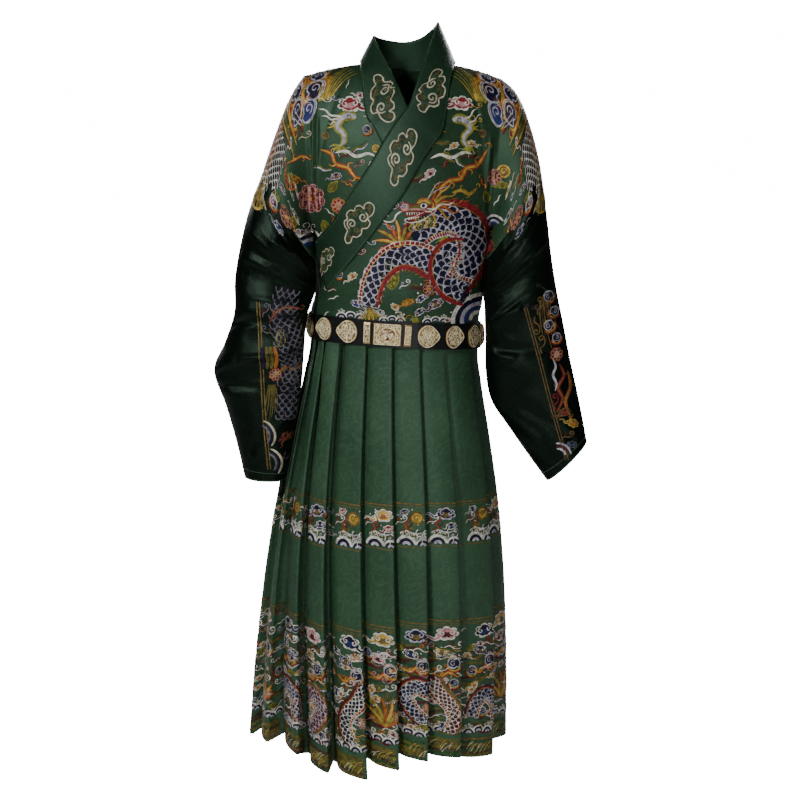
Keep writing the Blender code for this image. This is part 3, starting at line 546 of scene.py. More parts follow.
def front_place(tree, x, z):
    """Point and outward normal of the front at x and z."""
    place, normal, _, _ = tree.ray_cast(Vector((x, -1.0, z)), Vector((0.0, 1.0, 0.0)))
    if place is None:
        place, normal, _, _ = tree.find_nearest(Vector((x, -0.03, z)))
    if normal.y > 0.0:
        normal = -normal
    return place, normal


def top_place(trees, x, y):
    """Point and upward normal of the shoulders straight below x and y."""
    best = None
    best_normal = None
    for tree in trees:
        place, normal, _, _ = tree.ray_cast(Vector((x, y, 1.0)), Vector((0.0, 0.0, -1.0)))
        if place is not None and (best is None or place.z > best.z):
            best = place
            best_normal = normal if normal.z > 0.0 else -normal
    return best, best_normal


def lapel_row(tree, ends, across, lies_under):
    """Row across the collar on the front, from its seam edge to its free edge."""
    sx, sz, fx, fz = ends
    row = []
    for i in range(across + 1):
        x = mix(sx, fx, i / across)
        z = mix(sz, fz, i / across)
        place, normal = front_place(tree, x, z)
        row.append(place + normal * (LAPEL_LIFT - underlap(x, z, 0.0) if lies_under else LAPEL_LIFT))
    return row


def neck_row(trees, ends, across):
    """Row across the collar round the neck, bowed between its seam edge and its free edge."""
    sx, sy, *free = ends
    place, normal = top_place(trees, sx, sy)
    seam = place + normal * (LAPEL_LIFT + NECK_LIFT)
    row = []
    for i in range(across + 1):
        row.append(seam.lerp(Vector(free), i / across))
        row[-1].z += 0.002 * math.sin(math.pi * (i / across))
    return row


def collar_rows(front_tree, back_tree, across):
    """Rows across the collar strip, each from its seam edge to its free edge."""
    rows = [lapel_row(front_tree, ends, across, False) for ends in COLLAR_FRONT_OUTER]
    rows += [neck_row((front_tree, back_tree), ends, across) for ends in COLLAR_NECK]
    rows += [lapel_row(front_tree, ends, across, True) for ends in COLLAR_FRONT_INNER]
    return rows


def smooth_rows(rows, parts):
    """More rows between the given ones."""
    result = []
    last = len(rows) - 1
    for i in range(last):
        near = (rows[max(0, i - 1)], rows[i], rows[i + 1], rows[min(last, i + 2)])
        for step in range(parts):
            result.append([smooth(a, b, c, d, step / parts) for a, b, c, d in zip(*near)])
    result.append(rows[last])
    return result


def skirt_size(level):
    """Half width, front depth, back depth and middle x of the skirt at a level."""
    half = row_value(SKIRT_ROWS, 1, level)
    front = row_value(SKIRT_ROWS, 2, level)
    back = row_value(SKIRT_ROWS, 3, level)
    return half, front, back, mix(WAIST_X, HEM_X, level)


class Path:
    """Closed oval with different depths at front and back, read by distance."""

    def __init__(self, half, front, back, middle):
        """Measures the oval in even turns."""
        self.half = half
        self.front = front
        self.back = back
        self.middle = middle
        self.count = 1440
        turns = [-math.pi + 2.0 * math.pi * i / self.count for i in range(self.count + 1)]
        self.lengths = running([self.at_angle(turn) for turn in turns])
        self.total = self.lengths[-1]

    def at_angle(self, angle):
        """Plan point at an angle."""
        depth = self.back if math.sin(angle) > 0.0 else self.front
        return self.middle + self.half * math.cos(angle), depth * math.sin(angle)

    def distance(self, degrees):
        """Distance along the oval at an angle, which may pass a whole turn."""
        turns = math.floor((degrees + 180.0) / 360.0)
        share = (degrees + 180.0) / 360.0 - turns
        place = share * self.count
        i = min(self.count - 1, int(place))
        inside = mix(self.lengths[i], self.lengths[i + 1], place - i)
        return inside + turns * self.total

    def angle(self, distance):
        """Angle in radians at a distance."""
        inside = distance - math.floor(distance / self.total) * self.total
        low = max(0, bisect_right(self.lengths, inside, 0, self.count) - 1)
        share = (inside - self.lengths[low]) / (self.lengths[low + 1] - self.lengths[low])
        return -math.pi + 2.0 * math.pi * (low + share) / self.count

    def place(self, distance, inward):
        """Plan point at a distance along and a depth inwards."""
        angle = self.angle(distance)
        x, y = self.at_angle(angle)
        depth = self.back if math.sin(angle) > 0.0 else self.front
        tx = -self.half * math.sin(angle)
        ty = depth * math.cos(angle)
        length = math.hypot(tx, ty)
        return x - inward * ty / length, y + inward * tx / length

    def normal(self, distance):
        """Outward plan normal at a distance."""
        x0, y0 = self.place(distance, 0.0)
        x1, y1 = self.place(distance, -1.0)
        return x1 - x0, y1 - y0


def pleat_depth(level, hem_depth):
    """Depth of a pleat from its outer edge to its inner fold at a level."""
    return mix(WAIST_PLEAT_DEPTH, hem_depth, level ** 1.15)


def face_inward(u, level, depth, puff):
    """How far in the face of a pleat lies, u from its inner fold to its outer edge."""
    bump = puff * math.sin(math.pi * clamp(u)) * ease((level - 0.02) / 0.06)
    bump *= 1.0 - ease(level / 0.5)
    return depth * (1.0 - u) ** mix(1.0, 1.45, level) - bump


def skirt_height(level, x, y, drop):
    """Height of a skirt point."""
    z = mix(WAIST_Z - SEAM_GAP, HEM_Z, level)
    z += waist_tilt(x, y) * (1.0 - level) ** 1.5
    return z - drop * level ** 2


def belt_path(extra):
    """Oval of the belt, let out by some clearance."""
    half = TORSO_ROWS[0][1] + extra
    return Path(half, TORSO_ROWS[0][2] + extra, TORSO_ROWS[0][3] + extra, WAIST_X)


def plaque_outline(shape, width, height):
    """Outline of a plaque, lying along x and standing along y."""
    half_w = 0.5 * width
    half_h = 0.5 * height
    if shape == "rectangle":
        cut = 0.0012
        return [
            (-half_w + cut, -half_h), (half_w - cut, -half_h), (half_w, -half_h + cut),
            (half_w, half_h - cut), (half_w - cut, half_h), (-half_w + cut, half_h),
            (-half_w, half_h - cut), (-half_w, -half_h + cut),
        ]
    outline = []
    count = 22
    for i in range(count):
        angle = 2.0 * math.pi * i / count
        c = math.cos(angle)
        s = math.sin(angle)
        if shape == "peach":
            point_reach = max(0.0, c) ** 6 * 0.16
            shoulder = 1.0 - 0.20 * max(0.0, c) ** 1.5
            outline.append((half_w * (c * 0.84 + point_reach), half_h * s * shoulder))
        else:
            square = (abs(c) ** 4 + abs(s) ** 4) ** -0.25
            blend = ease(0.5 + c)
            outline.append((half_w * c * mix(square, 1.0, blend), half_h * s * mix(square, 1.0, blend)))
    return outline


# Small creases of the sleeves, as the large folds: section, degrees, section, degrees, reach, height, face
CREASES_RIGHT = (
    (3.2, 172.0, 3.9, 60.0, 0.128, 0.0065, -1),
    (3.9, 176.0, 4.5, 70.0, 0.104, -0.0072, -1),
    (4.3, 120.0, 4.5, 30.0, 0.12, 0.0072, -1),
    (4.9, 178.0, 5.6, 95.0, 0.112, 0.0080, -1),
    (5.3, 150.0, 5.4, 60.0, 0.096, -0.0058, -1),
    (5.9, 176.0, 6.9, 110.0, 0.128, 0.0072, -1),
    (6.3, 140.0, 7.3, 60.0, 0.144, -0.0051, -1),
    (7.6, 172.0, 9.6, 120.0, 0.16, 0.0058, -1),
    (8.4, 120.0, 10.4, 60.0, 0.176, -0.0043, -1),
    (9.2, 165.0, 10.9, 110.0, 0.112, 0.0043, -1),
    (3.6, 150.0, 5.0, 60.0, 0.16, 0.0072, 1),
    (5.4, 165.0, 7.0, 80.0, 0.16, -0.0065, 1),
    (6.8, 160.0, 9.0, 90.0, 0.192, 0.0072, 1),
)
CREASES_LEFT = (
    (3.1, 174.0, 3.8, 80.0, 0.12, 0.0065, -1),
    (3.7, 176.0, 4.3, 60.0, 0.112, -0.0080, -1),
    (4.2, 150.0, 4.6, 25.0, 0.104, 0.0065, -1),
    (4.6, 176.0, 5.2, 110.0, 0.104, 0.0087, -1),
    (5.0, 140.0, 6.4, 18.0, 0.128, -0.0072, -1),
    (5.6, 172.0, 7.1, 60.0, 0.112, 0.0065, -1),
    (6.6, 100.0, 8.0, 14.0, 0.12, 0.0080, -1),
    (7.4, 150.0, 8.4, 30.0, 0.144, -0.0065, -1),
    (8.3, 160.0, 10.2, 70.0, 0.192, 0.0051, -1),
    (9.4, 100.0, 10.9, 30.0, 0.16, -0.0043, -1),
    (3.6, 150.0, 5.0, 60.0, 0.16, 0.0072, 1),
    (5.4, 165.0, 7.0, 80.0, 0.16, -0.0065, 1),
    (6.8, 160.0, 9.0, 90.0, 0.192, 0.0072, 1),
)
# Narrow crumples where the sleeve is pinched at the inner elbow, read as the creases
CRUMPLES_RIGHT = (
    (4.10, 176.0, 3.30, 60.0, 0.070, 0.0050, -1),
    (4.22, 176.0, 3.66, 52.0, 0.055, -0.0050, -1),
    (4.40, 177.0, 4.10, 46.0, 0.055, 0.0046, -1),
    (4.52, 176.0, 4.52, 70.0, 0.050, -0.0044, -1),
    (4.62, 177.0, 5.10, 66.0, 0.060, 0.0046, -1),
    (4.76, 176.0, 5.70, 84.0, 0.055, -0.0040, -1),
    (4.92, 177.0, 6.40, 108.0, 0.060, 0.0036, -1),
    (3.40, 120.0, 3.60, 20.0, 0.050, -0.0034, -1),
    (5.10, 60.0, 5.60, 8.0, 0.060, 0.0034, -1),
)
CRUMPLES_LEFT = (
    (3.60, 176.0, 3.30, 44.0, 0.060, 0.0050, -1),
    (3.78, 176.0, 3.70, 40.0, 0.050, -0.0052, -1),
    (3.95, 177.0, 4.10, 36.0, 0.055, 0.0050, -1),
    (4.12, 176.0, 4.62, 50.0, 0.050, -0.0046, -1),
    (4.30, 177.0, 5.20, 62.0, 0.060, 0.0046, -1),
    (4.50, 176.0, 5.90, 84.0, 0.055, -0.0040, -1),
    (4.80, 150.0, 6.60, 96.0, 0.060, 0.0042, -1),
    (3.30, 110.0, 3.50, 16.0, 0.050, -0.0034, -1),
    (5.60, 170.0, 7.20, 120.0, 0.060, -0.0034, -1),
)
# Soft drags of the upper body: column, row, column, row, reach, height, face
TORSO_CREASES = (
    (-0.90, 0.78, -0.93, 0.38, 0.030, -0.0060, -1),
    (-0.84, 0.76, -0.86, 0.40, 0.028, 0.0045, -1),
    (0.97, 0.66, 0.88, 0.40, 0.030, -0.0065, -1),
    (0.90, 0.70, 0.83, 0.42, 0.028, 0.0045, -1),
    (-0.50, 0.92, -0.80, 0.62, 0.030, -0.0030, -1),
    (0.60, 0.90, 0.80, 0.62, 0.030, -0.0030, -1),
    (0.96, 0.34, 0.40, 0.06, 0.040, 0.0060, -1),
    (0.90, 0.22, 0.62, 0.02, 0.030, -0.0045, -1),
    (0.55, 0.16, 0.48, 0.01, 0.022, 0.0045, -1),
    (0.28, 0.17, 0.26, 0.01, 0.022, -0.0037, -1),
    (0.08, 0.15, 0.10, 0.01, 0.022, 0.0037, -1),
    (-0.12, 0.12, -0.10, 0.01, 0.022, -0.0033, -1),
    (0.97, 0.45, 0.70, 0.62, 0.045, -0.0060, -1),
    (-0.97, 0.40, -0.62, 0.56, 0.045, -0.0060, -1),
    (-0.95, 0.33, -0.60, 0.20, 0.040, 0.0053, -1),
    (-0.90, 0.20, -0.66, 0.03, 0.026, -0.0045, -1),
    (0.60, 0.30, 0.42, 0.02, 0.035, 0.0060, 1),
    (-0.60, 0.30, -0.42, 0.02, 0.035, 0.0060, 1),
    (0.12, 0.26, 0.10, 0.02, 0.030, -0.0053, 1),
    (0.94, 0.46, 0.62, 0.66, 0.050, -0.0067, 1),
    (-0.94, 0.46, -0.62, 0.66, 0.050, -0.0067, 1),
)


def crease_sum(creases, u, v, face, stretch):
    """Height of soft creases at a place, each one uneven along its length."""
    height = 0.0
    for *ends, reach, top, crease_face in creases:
        if crease_face != face:
            continue
        held, distance = beside_fold(ends, u, v, stretch)
        if distance <= 2.2 * reach:
            wobble = 1.0 + 0.35 * math.sin(5.0 * held + 7.0 * ends[0])
            fade = (1.0 - 0.5 * held) * ease(held * 5.0 + 0.2)
            height += top * wobble * fade * math.exp(-(distance / reach) ** 2 * 2.0)
    return height


def ripple(point, size, height):
    """Small unevenness of hung silk."""
    return height * noise.noise(point / size)


def sleeve_tables(side):
    """Section, fold and crease tables of one sleeve."""
    if side > 0:
        return SLEEVE_RIGHT, FOLDS_RIGHT, CREASES_RIGHT + CRUMPLES_RIGHT
    return SLEEVE_LEFT, FOLDS_LEFT, CREASES_LEFT + CRUMPLES_LEFT


TUCK = 0.0052
TUCK_SECTIONS = (0.9, 2.0, 4.0, 4.9)


def tuck_in(side, where, angle):
    """How far the inner edge of a sleeve is pressed towards the body above the belt."""
    first, full, rest, last = TUCK_SECTIONS
    part = ease((where - first) / (full - first)) * (1.0 - ease((where - rest) / (last - rest)))
    return -side * TUCK * part * (0.5 - 0.5 * math.cos(angle)) ** 3


def sleeve_skin(side, where, angle, face):
    """Outer face of a sleeve with its creases."""
    table, folds, creases = sleeve_tables(side)
    point = sleeve_point(table, folds, where, angle, face)
    height = crease_sum(creases, where, math.degrees(angle), face, DEGREES_A_SECTION)
    height += ripple(point, 0.030, 0.0011) + ripple(point, 0.011, 0.0003)
    height *= sleeve_edge(angle) * ease((where - 2.4) / 1.0)
    return point + Vector((tuck_in(side, where, angle), face * height, 0.0))


def torso_skin(s, t, face):
    """Outer face of the upper body with its creases."""
    point = torso_point(s, t, face)
    height = crease_sum(TORSO_CREASES, s, t, face, 1.0)
    height += ripple(point, 0.045, 0.0010)
    calm = ease((1.0 - abs(s)) / 0.12) * ease(t / 0.09) * ease((0.97 - t) / 0.15)
    return point + Vector((0.0, face * height * calm, 0.0))


def new_object(name, bm, materials):
    """Shaded object riding on the one body."""
    mesh = bpy.data.meshes.new(name)
    bm.to_mesh(mesh)
    bm.free()
    mesh.shade_smooth()
    for material in materials:
        mesh.materials.append(material)
    obj = bpy.data.objects.new(name, mesh)
    bpy.context.scene.collection.objects.link(obj)
    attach(obj, BODY)
    return obj


def skin_faces(bm, rows, flip, heights):
    """Quads over rows of points. The UVs in metres are the length along a row and the row's height."""
    made = [[bm.verts.new(point) for point in row] for row in rows]
    layer = bm.loops.layers.uv.verify()
    uvs = [[(length, height) for length in spaced(row)] for row, height in zip(rows, heights)]
    for j in range(len(rows) - 1):
        for i in range(len(rows[j]) - 1):
            places = [(j, i), (j, i + 1), (j + 1, i + 1), (j + 1, i)]
            if flip:
                places.reverse()
            face = bm.faces.new([made[a][b] for a, b in places])
            for loop, (a, b) in zip(face.loops, places):
                loop[layer].uv = uvs[a][b]


def cloth_piece(name, bm, material, wall):
    """Cloth in place of the part's own node, with its wall laid inwards from the skin."""
    obj = new_object(name + "_cloth", bm, [material])
    shell = obj.modifiers.new("wall", "SOLIDIFY")
    shell.thickness = wall
    shell.offset = -1.0
    shell.use_even_offset = False
    shell.use_rim = True
    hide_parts(name)
    return obj


BODY_ROWS_LOW = 26
BODY_ROWS_HIGH = 56
BODY_COLUMNS = 44
SLEEVE_TOP_COLUMNS = 20
FAR_COLUMN = -0.905
# Points closer than this are one, at the seams of the body and sleeves and in the pleats
SEAM_WELD = 0.00003
PLEAT_WELD = 0.00001


def body_row(side, t, face, edge_table):
    """Row of half the upper body, from its cut edge or the neck to the armhole."""
    if face == FACE_FRONT or t >= 1.0:
        start = crossing(t, edge_table, side * 1.0, FAR_COLUMN * side)
    else:
        start = neck_crossing(t, side)
        start = 0.0 if abs(start) < 0.003 else start
    row = []
    for i in range(BODY_COLUMNS + 1):
        s = mix(start, side, i / BODY_COLUMNS)
        point = torso_skin(s, t, face)
        if face == FACE_FRONT and side < 0:
            point = point - torso_normal(s, t, face) * underlap(point.x, point.z, s)
        if t == 0.0:
            point.z += SEAM_GAP
        row.append(point)
    return row


def skin_body(side, name, edge_table, material):
    """Front and back half of the upper body with the top of the sleeve."""
    shares = [mix(0.0, ARMPIT_ROW, i / BODY_ROWS_LOW) for i in range(BODY_ROWS_LOW)]
    shares += [mix(ARMPIT_ROW, 1.0, i / BODY_ROWS_HIGH) for i in range(BODY_ROWS_HIGH + 1)]
    bm = bmesh.new()
    for face in (FACE_FRONT, FACE_BACK):
        main = [body_row(side, t, face, edge_table) for t in shares]
        top = []
        for t, row in zip(shares, main):
            if t >= ARMPIT_ROW:
                ring = [row[-1]]
                for k in range(1, SLEEVE_TOP_COLUMNS + 1):
                    where = BODY_SECTIONS * k / SLEEVE_TOP_COLUMNS
                    ring.append(sleeve_skin(side, where, torso_angle(t), face))
                top.append(ring)
        for rows in (main, top):
            skin_faces(bm, rows, (face == FACE_BACK) != (side < 0), [row[0].z for row in rows])
    bmesh.ops.remove_doubles(bm, verts=bm.verts, dist=SEAM_WELD)
    return cloth_piece(name, bm, material, BODY_CLOTH)


SLEEVE_STEPS = 120
SLEEVE_STEP_LENGTH = 0.0056
SLEEVE_HALF = 44
SLEEVE_START = 0.014


def skin_sleeve(side, name, material):
    """Sleeve from the body piece to the open cuff."""
    last = len(sleeve_tables(side)[0]) - 1
    halves = ((FACE_FRONT, range(SLEEVE_HALF + 1)), (FACE_BACK, range(SLEEVE_HALF - 1, 0, -1)))
    rings = []
    for j in range(SLEEVE_STEPS + 1):
        where = mix(BODY_SECTIONS + SLEEVE_START, last, j / SLEEVE_STEPS)
        ring = []
        for face, steps in halves:
            ring += [sleeve_skin(side, where, math.pi * i / SLEEVE_HALF, face) for i in steps]
        ring.append(ring[0].copy())
        rings.append(ring)
    bm = bmesh.new()
    skin_faces(bm, rings, side < 0, [SLEEVE_STEP_LENGTH * j for j in range(SLEEVE_STEPS + 1)])
    bmesh.ops.remove_doubles(bm, verts=bm.verts, dist=SEAM_WELD)
    return cloth_piece(name, bm, material, SLEEVE_CLOTH)


def skin_collar(front_tree, back_tree, material):
    """Collar band, and the rows of its outer face for the clouds."""
    rows = smooth_rows(collar_rows(front_tree, back_tree, 12), 6)
    bm = bmesh.new()
    skin_faces(bm, rows, True, spaced([row[0] for row in rows]))
    return cloth_piece("collar", bm, material, COLLAR_CLOTH), rows


FACE_SHARES = 14
FOLD_STEPS = 7
SKIRT_ROWS_FINE = 64
# Where the modelled face of a pleat begins, just past its inner fold
INNER_SHARE = 0.035
PATHS = {}
PATH_STEPS = 1680


def skirt_path(level):
    """Oval of the skirt at a level, kept once made."""
    key = round(level * PATH_STEPS)
    if key not in PATHS:
        PATHS[key] = Path(*skirt_size(key / PATH_STEPS))
    return PATHS[key]


def underlay(level):
    """How far a pleat runs in beneath the fold of its neighbour."""
    return mix(WAIST_UNDERLAY, HEM_UNDERLAY, level ** 0.8)


def fold_turn(level):
    """Angle in degrees that the outer fold of a pleat turns through."""
    return mix(180.0, 112.0, ease(level * 1.3))


def pleat_frame(i, level):
    """Sizes of one pleat at a level: path, start distance, width, depth, fold radius."""
    path = skirt_path(level)
    row = PLEATS[i]
    before = PLEATS[i - 1]
    edge = path.distance(mix(row[0], row[1], level))
    previous = path.distance(mix(before[0], before[1], level))
    if i == 0:
        previous -= path.total
    start = previous - underlay(level)
    radius = mix(WAIST_FOLD_RADIUS, HEM_FOLD_RADIUS, level)
    return path, start, edge - start, pleat_depth(level, row[2]), radius


PUFFED_PLEAT = 3
PUFF = 0.0065
WAIST_DIP = 0.0045
HEM_DIP = 0.0085
DIP_SHARE = 0.34
# Pleats that turn in deeper, by their number
DEEP_DIPS = {2: 1.5, 3: 1.6, 4: 2.2}


def pleat_wave(i, level, u):
    """Soft unevenness of a pleat's face."""
    swing = math.sin(level * 7.0 + i * 1.7) * 0.0016 + math.sin(level * 17.0 + i * 2.9) * 0.0007
    swing *= ease(level / 0.12)
    if i == PUFFED_PLEAT:
        swing += PUFF * ease(level / 0.04) * (1.0 - ease((level - 0.06) / 0.20))
    return swing * math.sin(math.pi * clamp(u))


def pleat_dip(share, width, level):
    """How far the face of a pleat turns in beside the fold of its neighbour."""
    seen = (share * width - underlay(level)) / (width - underlay(level))
    near = 1.0 - clamp(seen / DIP_SHARE)
    deep = 1.0 - 0.5 * clamp(-seen / 0.3)
    return mix(WAIST_DIP, HEM_DIP, level) * near * near * deep * ease(level / 0.03)


def pleat_place(i, level, u):
    """Plan point and hem drop on a pleat: u is 0 at the inner fold, 1 where the outer fold starts.

    Past 1 the place runs round the outer fold, up to 2 at its far side.
    """
    path, start, width, depth, radius = pleat_frame(i, level)
    _, _, _, drop, puff = PLEATS[i]
    flat = 1.0 - radius / width
    if u <= 1.0:
        share = u * flat
        inward = face_inward(share, level, depth, puff) - pleat_wave(i, level, u)
        inward += DEEP_DIPS.get(i, 1.0) * pleat_dip(share, width, level)
        return path.place(start + share * width, inward), drop - HEM_RISE * (1.0 - share)
    angle = math.radians(fold_turn(level) * (u - 1.0))
    top = face_inward(flat, level, depth, puff)
    along = start + width - radius + radius * math.sin(angle)
    return path.place(along, top + radius * (1.0 - math.cos(angle))), drop


def skirt_skin(i, level, u):
    """Point on the outer face of the skirt."""
    (x, y), drop = pleat_place(i, level, u)
    return Vector((x, y, skirt_height(level, x, y, drop)))


def skin_skirt(material):
    """Pleated skirt as one ring of fine rows."""
    places = [mix(INNER_SHARE, 1.0, step / FACE_SHARES) for step in range(FACE_SHARES)]
    places += [1.0 + step / FOLD_STEPS for step in range(FOLD_STEPS + 1)]
    levels = [k / SKIRT_ROWS_FINE for k in range(SKIRT_ROWS_FINE + 1)]
    rows = []
    for level in levels:
        row = [skirt_skin(i, level, u) for i in range(len(PLEATS)) for u in places]
        row.append(row[0].copy())
        rows.append(row)
    bm = bmesh.new()
    skin_faces(bm, rows, True, [mix(0.0, HEM_Z - WAIST_Z, level) for level in levels])
    bmesh.ops.remove_doubles(bm, verts=bm.verts, dist=PLEAT_WELD)
    return cloth_piece("skirt", bm, material, SKIRT_CLOTH)


class Paint:
    """Node tree of a material or the world, built up node by node."""

    def __init__(self, owner, shader="Principled BSDF"):
        """Starts from the owner's first shader."""
        owner.use_nodes = True
        self.owner = owner
        self.tree = owner.node_tree
        self.shader = self.tree.nodes[shader]

    def fill(self, node, *inputs, **named):
        """Sets inputs in order, then settings and inputs by name. A socket that is given gets linked."""
        given = list(zip(node.inputs, inputs))
        for key, value in named.items():
            socket = node.inputs.get(key.replace("_", " "))
            if socket is None:
                setattr(node, key, value)
            else:
                given.append((socket, value))
        for socket, value in given:
            if isinstance(value, bpy.types.NodeSocket):
                self.tree.links.new(value, socket)
            else:
                socket.default_value = value

    def add(self, kind, *inputs, out=0, **named):
        """New node, given back as one of its outputs."""
        node = self.tree.nodes.new("ShaderNode" + kind)
        self.fill(node, *inputs, **named)
        return node.outputs[out]

    def ramp(self, value, *stops):
        """Colour from a ramp of (place, colour) stops."""
        socket = self.add("ValToRGB", value)
        elements = socket.node.color_ramp.elements
        while len(elements) < len(stops):
            elements.new(0.5)
        for element, (place, colour) in zip(elements, stops):
            element.position = place
            element.color = (*colour, 1.0)
        return socket

    def blend(self, share, a, b, kind="MIX"):
        """One colour laid over another."""
        return self.add("Mix", data_type="RGBA", blend_type=kind, Factor=share, A=a, B=b, out="Result")

    def grain(self, scale, detail, roughness=0.5):
        """Soft noise that sits still on the object."""
        place = self.add("TexCoord", out="Object")
        return self.add("TexNoise", place, Scale=scale, Detail=detail, Roughness=roughness)

    def bump(self, height, strength, distance):
        """Relief of the shader's surface."""
        bump = self.add("Bump", Strength=strength, Distance=distance, Height=height)
        self.fill(self.shader, Normal=bump)


def shade(colour, factor):
    """Colour made lighter or darker."""
    return tuple(min(1.0, channel * factor) for channel in colour)


def grey(level):
    """Neutral colour, in linear light."""
    return (level, level, level)


# Scale of a wave texture that makes one wave a metre, weave pitch and stitch pitch in metres
ONE_WAVE = 0.314
WEAVE = 0.0007
STITCH = 0.0006


def silk_material(name, colour, roughness, damask, gloss_level):
    """Silk satin with a fine weave, uneven dye and a tone on tone figure."""
    paint = Paint(bpy.data.materials.new(name))
    uv = paint.add("UVMap", out="UV")
    cloud = paint.grain(7.0, 4.0, 0.55)
    dye = paint.ramp(cloud, (0.30, shade(colour, 0.78)), (0.52, colour), (0.74, shade(colour, 1.25)))
    stretch = paint.add("Mapping", uv, Scale=(900.0, 60.0, 1.0))
    slub = paint.add("TexNoise", stretch, Scale=1.0, Detail=2.0)
    threads = paint.ramp(slub, (0.30, grey(0.80)), (0.70, grey(1.12)))
    bend = paint.add("TexNoise", uv, Scale=34.0, Detail=1.0, out="Color")
    bent = paint.add("VectorMath", bend, (0.030, 0.030, 0.0), uv, operation="MULTIPLY_ADD")
    size = paint.add("Mapping", bent, Scale=(26.0, 26.0, 1.0))
    figure = paint.add("TexVoronoi", size, feature="F1", Scale=1.0, out="Distance")
    rings = paint.add("Math", paint.add("Math", figure, 26.0, operation="MULTIPLY"), operation="SINE")
    lines = paint.add("MapRange", rings, From_Min=0.45, From_Max=0.75, To_Max=damask)
    woven = paint.blend(1.0, dye, threads, "MULTIPLY")
    figured = paint.blend(lines, woven, (*shade(colour, 2.1), 1.0))
    gloss = paint.add("MapRange", cloud, To_Min=roughness - 0.05, To_Max=roughness + 0.09)
    paint.fill(paint.shader, Base_Color=figured, Roughness=gloss, Specular_IOR_Level=gloss_level,
               Specular_Tint=(0.62, 1.0, 0.74, 1.0))
    waves = [paint.add("TexWave", uv, bands_direction=way, Scale=ONE_WAVE / WEAVE, out="Fac") for way in "XY"]
    paint.bump(paint.add("Math", *waves, operation="MULTIPLY"), 0.35, 0.0002)
    return paint.owner


def thread_material(name, colour, roughness, metallic):
    """Embroidery thread: close satin stitches across the shape, each a little different, with painted shade
    in the grooves between them.
    """
    paint = Paint(bpy.data.materials.new(name))
    stitches = paint.add("TexWave", paint.add("UVMap", out="UV"), bands_direction="X",
                         Scale=ONE_WAVE / STITCH, Distortion=1.2, Detail=1.0, out="Fac")
    patch = paint.grain(130.0, 3.0)
    tones = paint.ramp(patch, (0.30, shade(colour, 0.50)), (0.50, colour), (0.72, shade(colour, 1.40)))
    # Painted shade: the grooves between the stitches are darkened in the base colour, along the same waves as
    # the bump
    lines = paint.ramp(stitches, (0.0, grey(0.66)), (0.6, grey(1.0)))
    paint.fill(paint.shader, Base_Color=paint.blend(1.0, tones, lines, "MULTIPLY"), Roughness=roughness,
               Metallic=metallic, Specular_IOR_Level=0.16)
    paint.bump(stitches, 0.5, 0.0002)
    return paint.owner


DYES = {
    # name: colour, roughness, metallic
    "ink": ((0.004, 0.004, 0.008), 0.50, 0.0),
    "navy": ((0.006, 0.007, 0.024), 0.50, 0.0),
    "blue": ((0.018, 0.030, 0.120), 0.50, 0.0),
    "lilac": ((0.400, 0.375, 0.435), 0.50, 0.0),
    "white": ((0.610, 0.580, 0.515), 0.50, 0.0),
    "cream": ((0.440, 0.405, 0.285), 0.50, 0.0),
    "red": ((0.195, 0.013, 0.017), 0.50, 0.0),
    "wine": ((0.075, 0.009, 0.012), 0.50, 0.0),
    "pink": ((0.420, 0.200, 0.200), 0.50, 0.0),
    "orange": ((0.310, 0.100, 0.018), 0.50, 0.0),
    "gold": ((0.480, 0.310, 0.055), 0.38, 0.45),
    "dull_gold": ((0.150, 0.105, 0.030), 0.44, 0.30),
    "olive": ((0.105, 0.100, 0.018), 0.50, 0.0),
    "lime": ((0.240, 0.240, 0.034), 0.50, 0.0),
    "brown": ((0.055, 0.032, 0.016), 0.50, 0.0),
    "leaf": ((0.026, 0.068, 0.022), 0.50, 0.0),
    "grey": ((0.110, 0.105, 0.125), 0.50, 0.0),
    "shadow_green": ((0.020, 0.050, 0.027), 0.42, 0.0),
    "light_green": ((0.040, 0.095, 0.050), 0.40, 0.0),
    "gilt": ((0.880, 0.740, 0.460), 0.36, 0.40),
}
THREADS = {name: thread_material("thread_" + name, *values) for name, values in DYES.items()}
DYE_ORDER = list(DYES)


def spline(points, step, closed=False):
    """Smooth line through points, in even steps of about the given length."""
    count = len(points)
    if count == 2 and not closed:
        return list(points)
    line = []
    for i in range(count if closed else count - 1):
        near = []
        for k in (i - 1, i, i + 1, i + 2):
            near.append(points[k % count if closed else min(count - 1, max(0, k))])
        (x1, y1), (x2, y2) = near[1:3]
        parts = max(1, math.ceil(math.hypot(x2 - x1, y2 - y1) / step))
        for k in range(parts):
            line.append(tuple(smooth(a, b, c, d, k / parts) for a, b, c, d in zip(*near)))
    if not closed:
        line.append(points[-1])
    return line


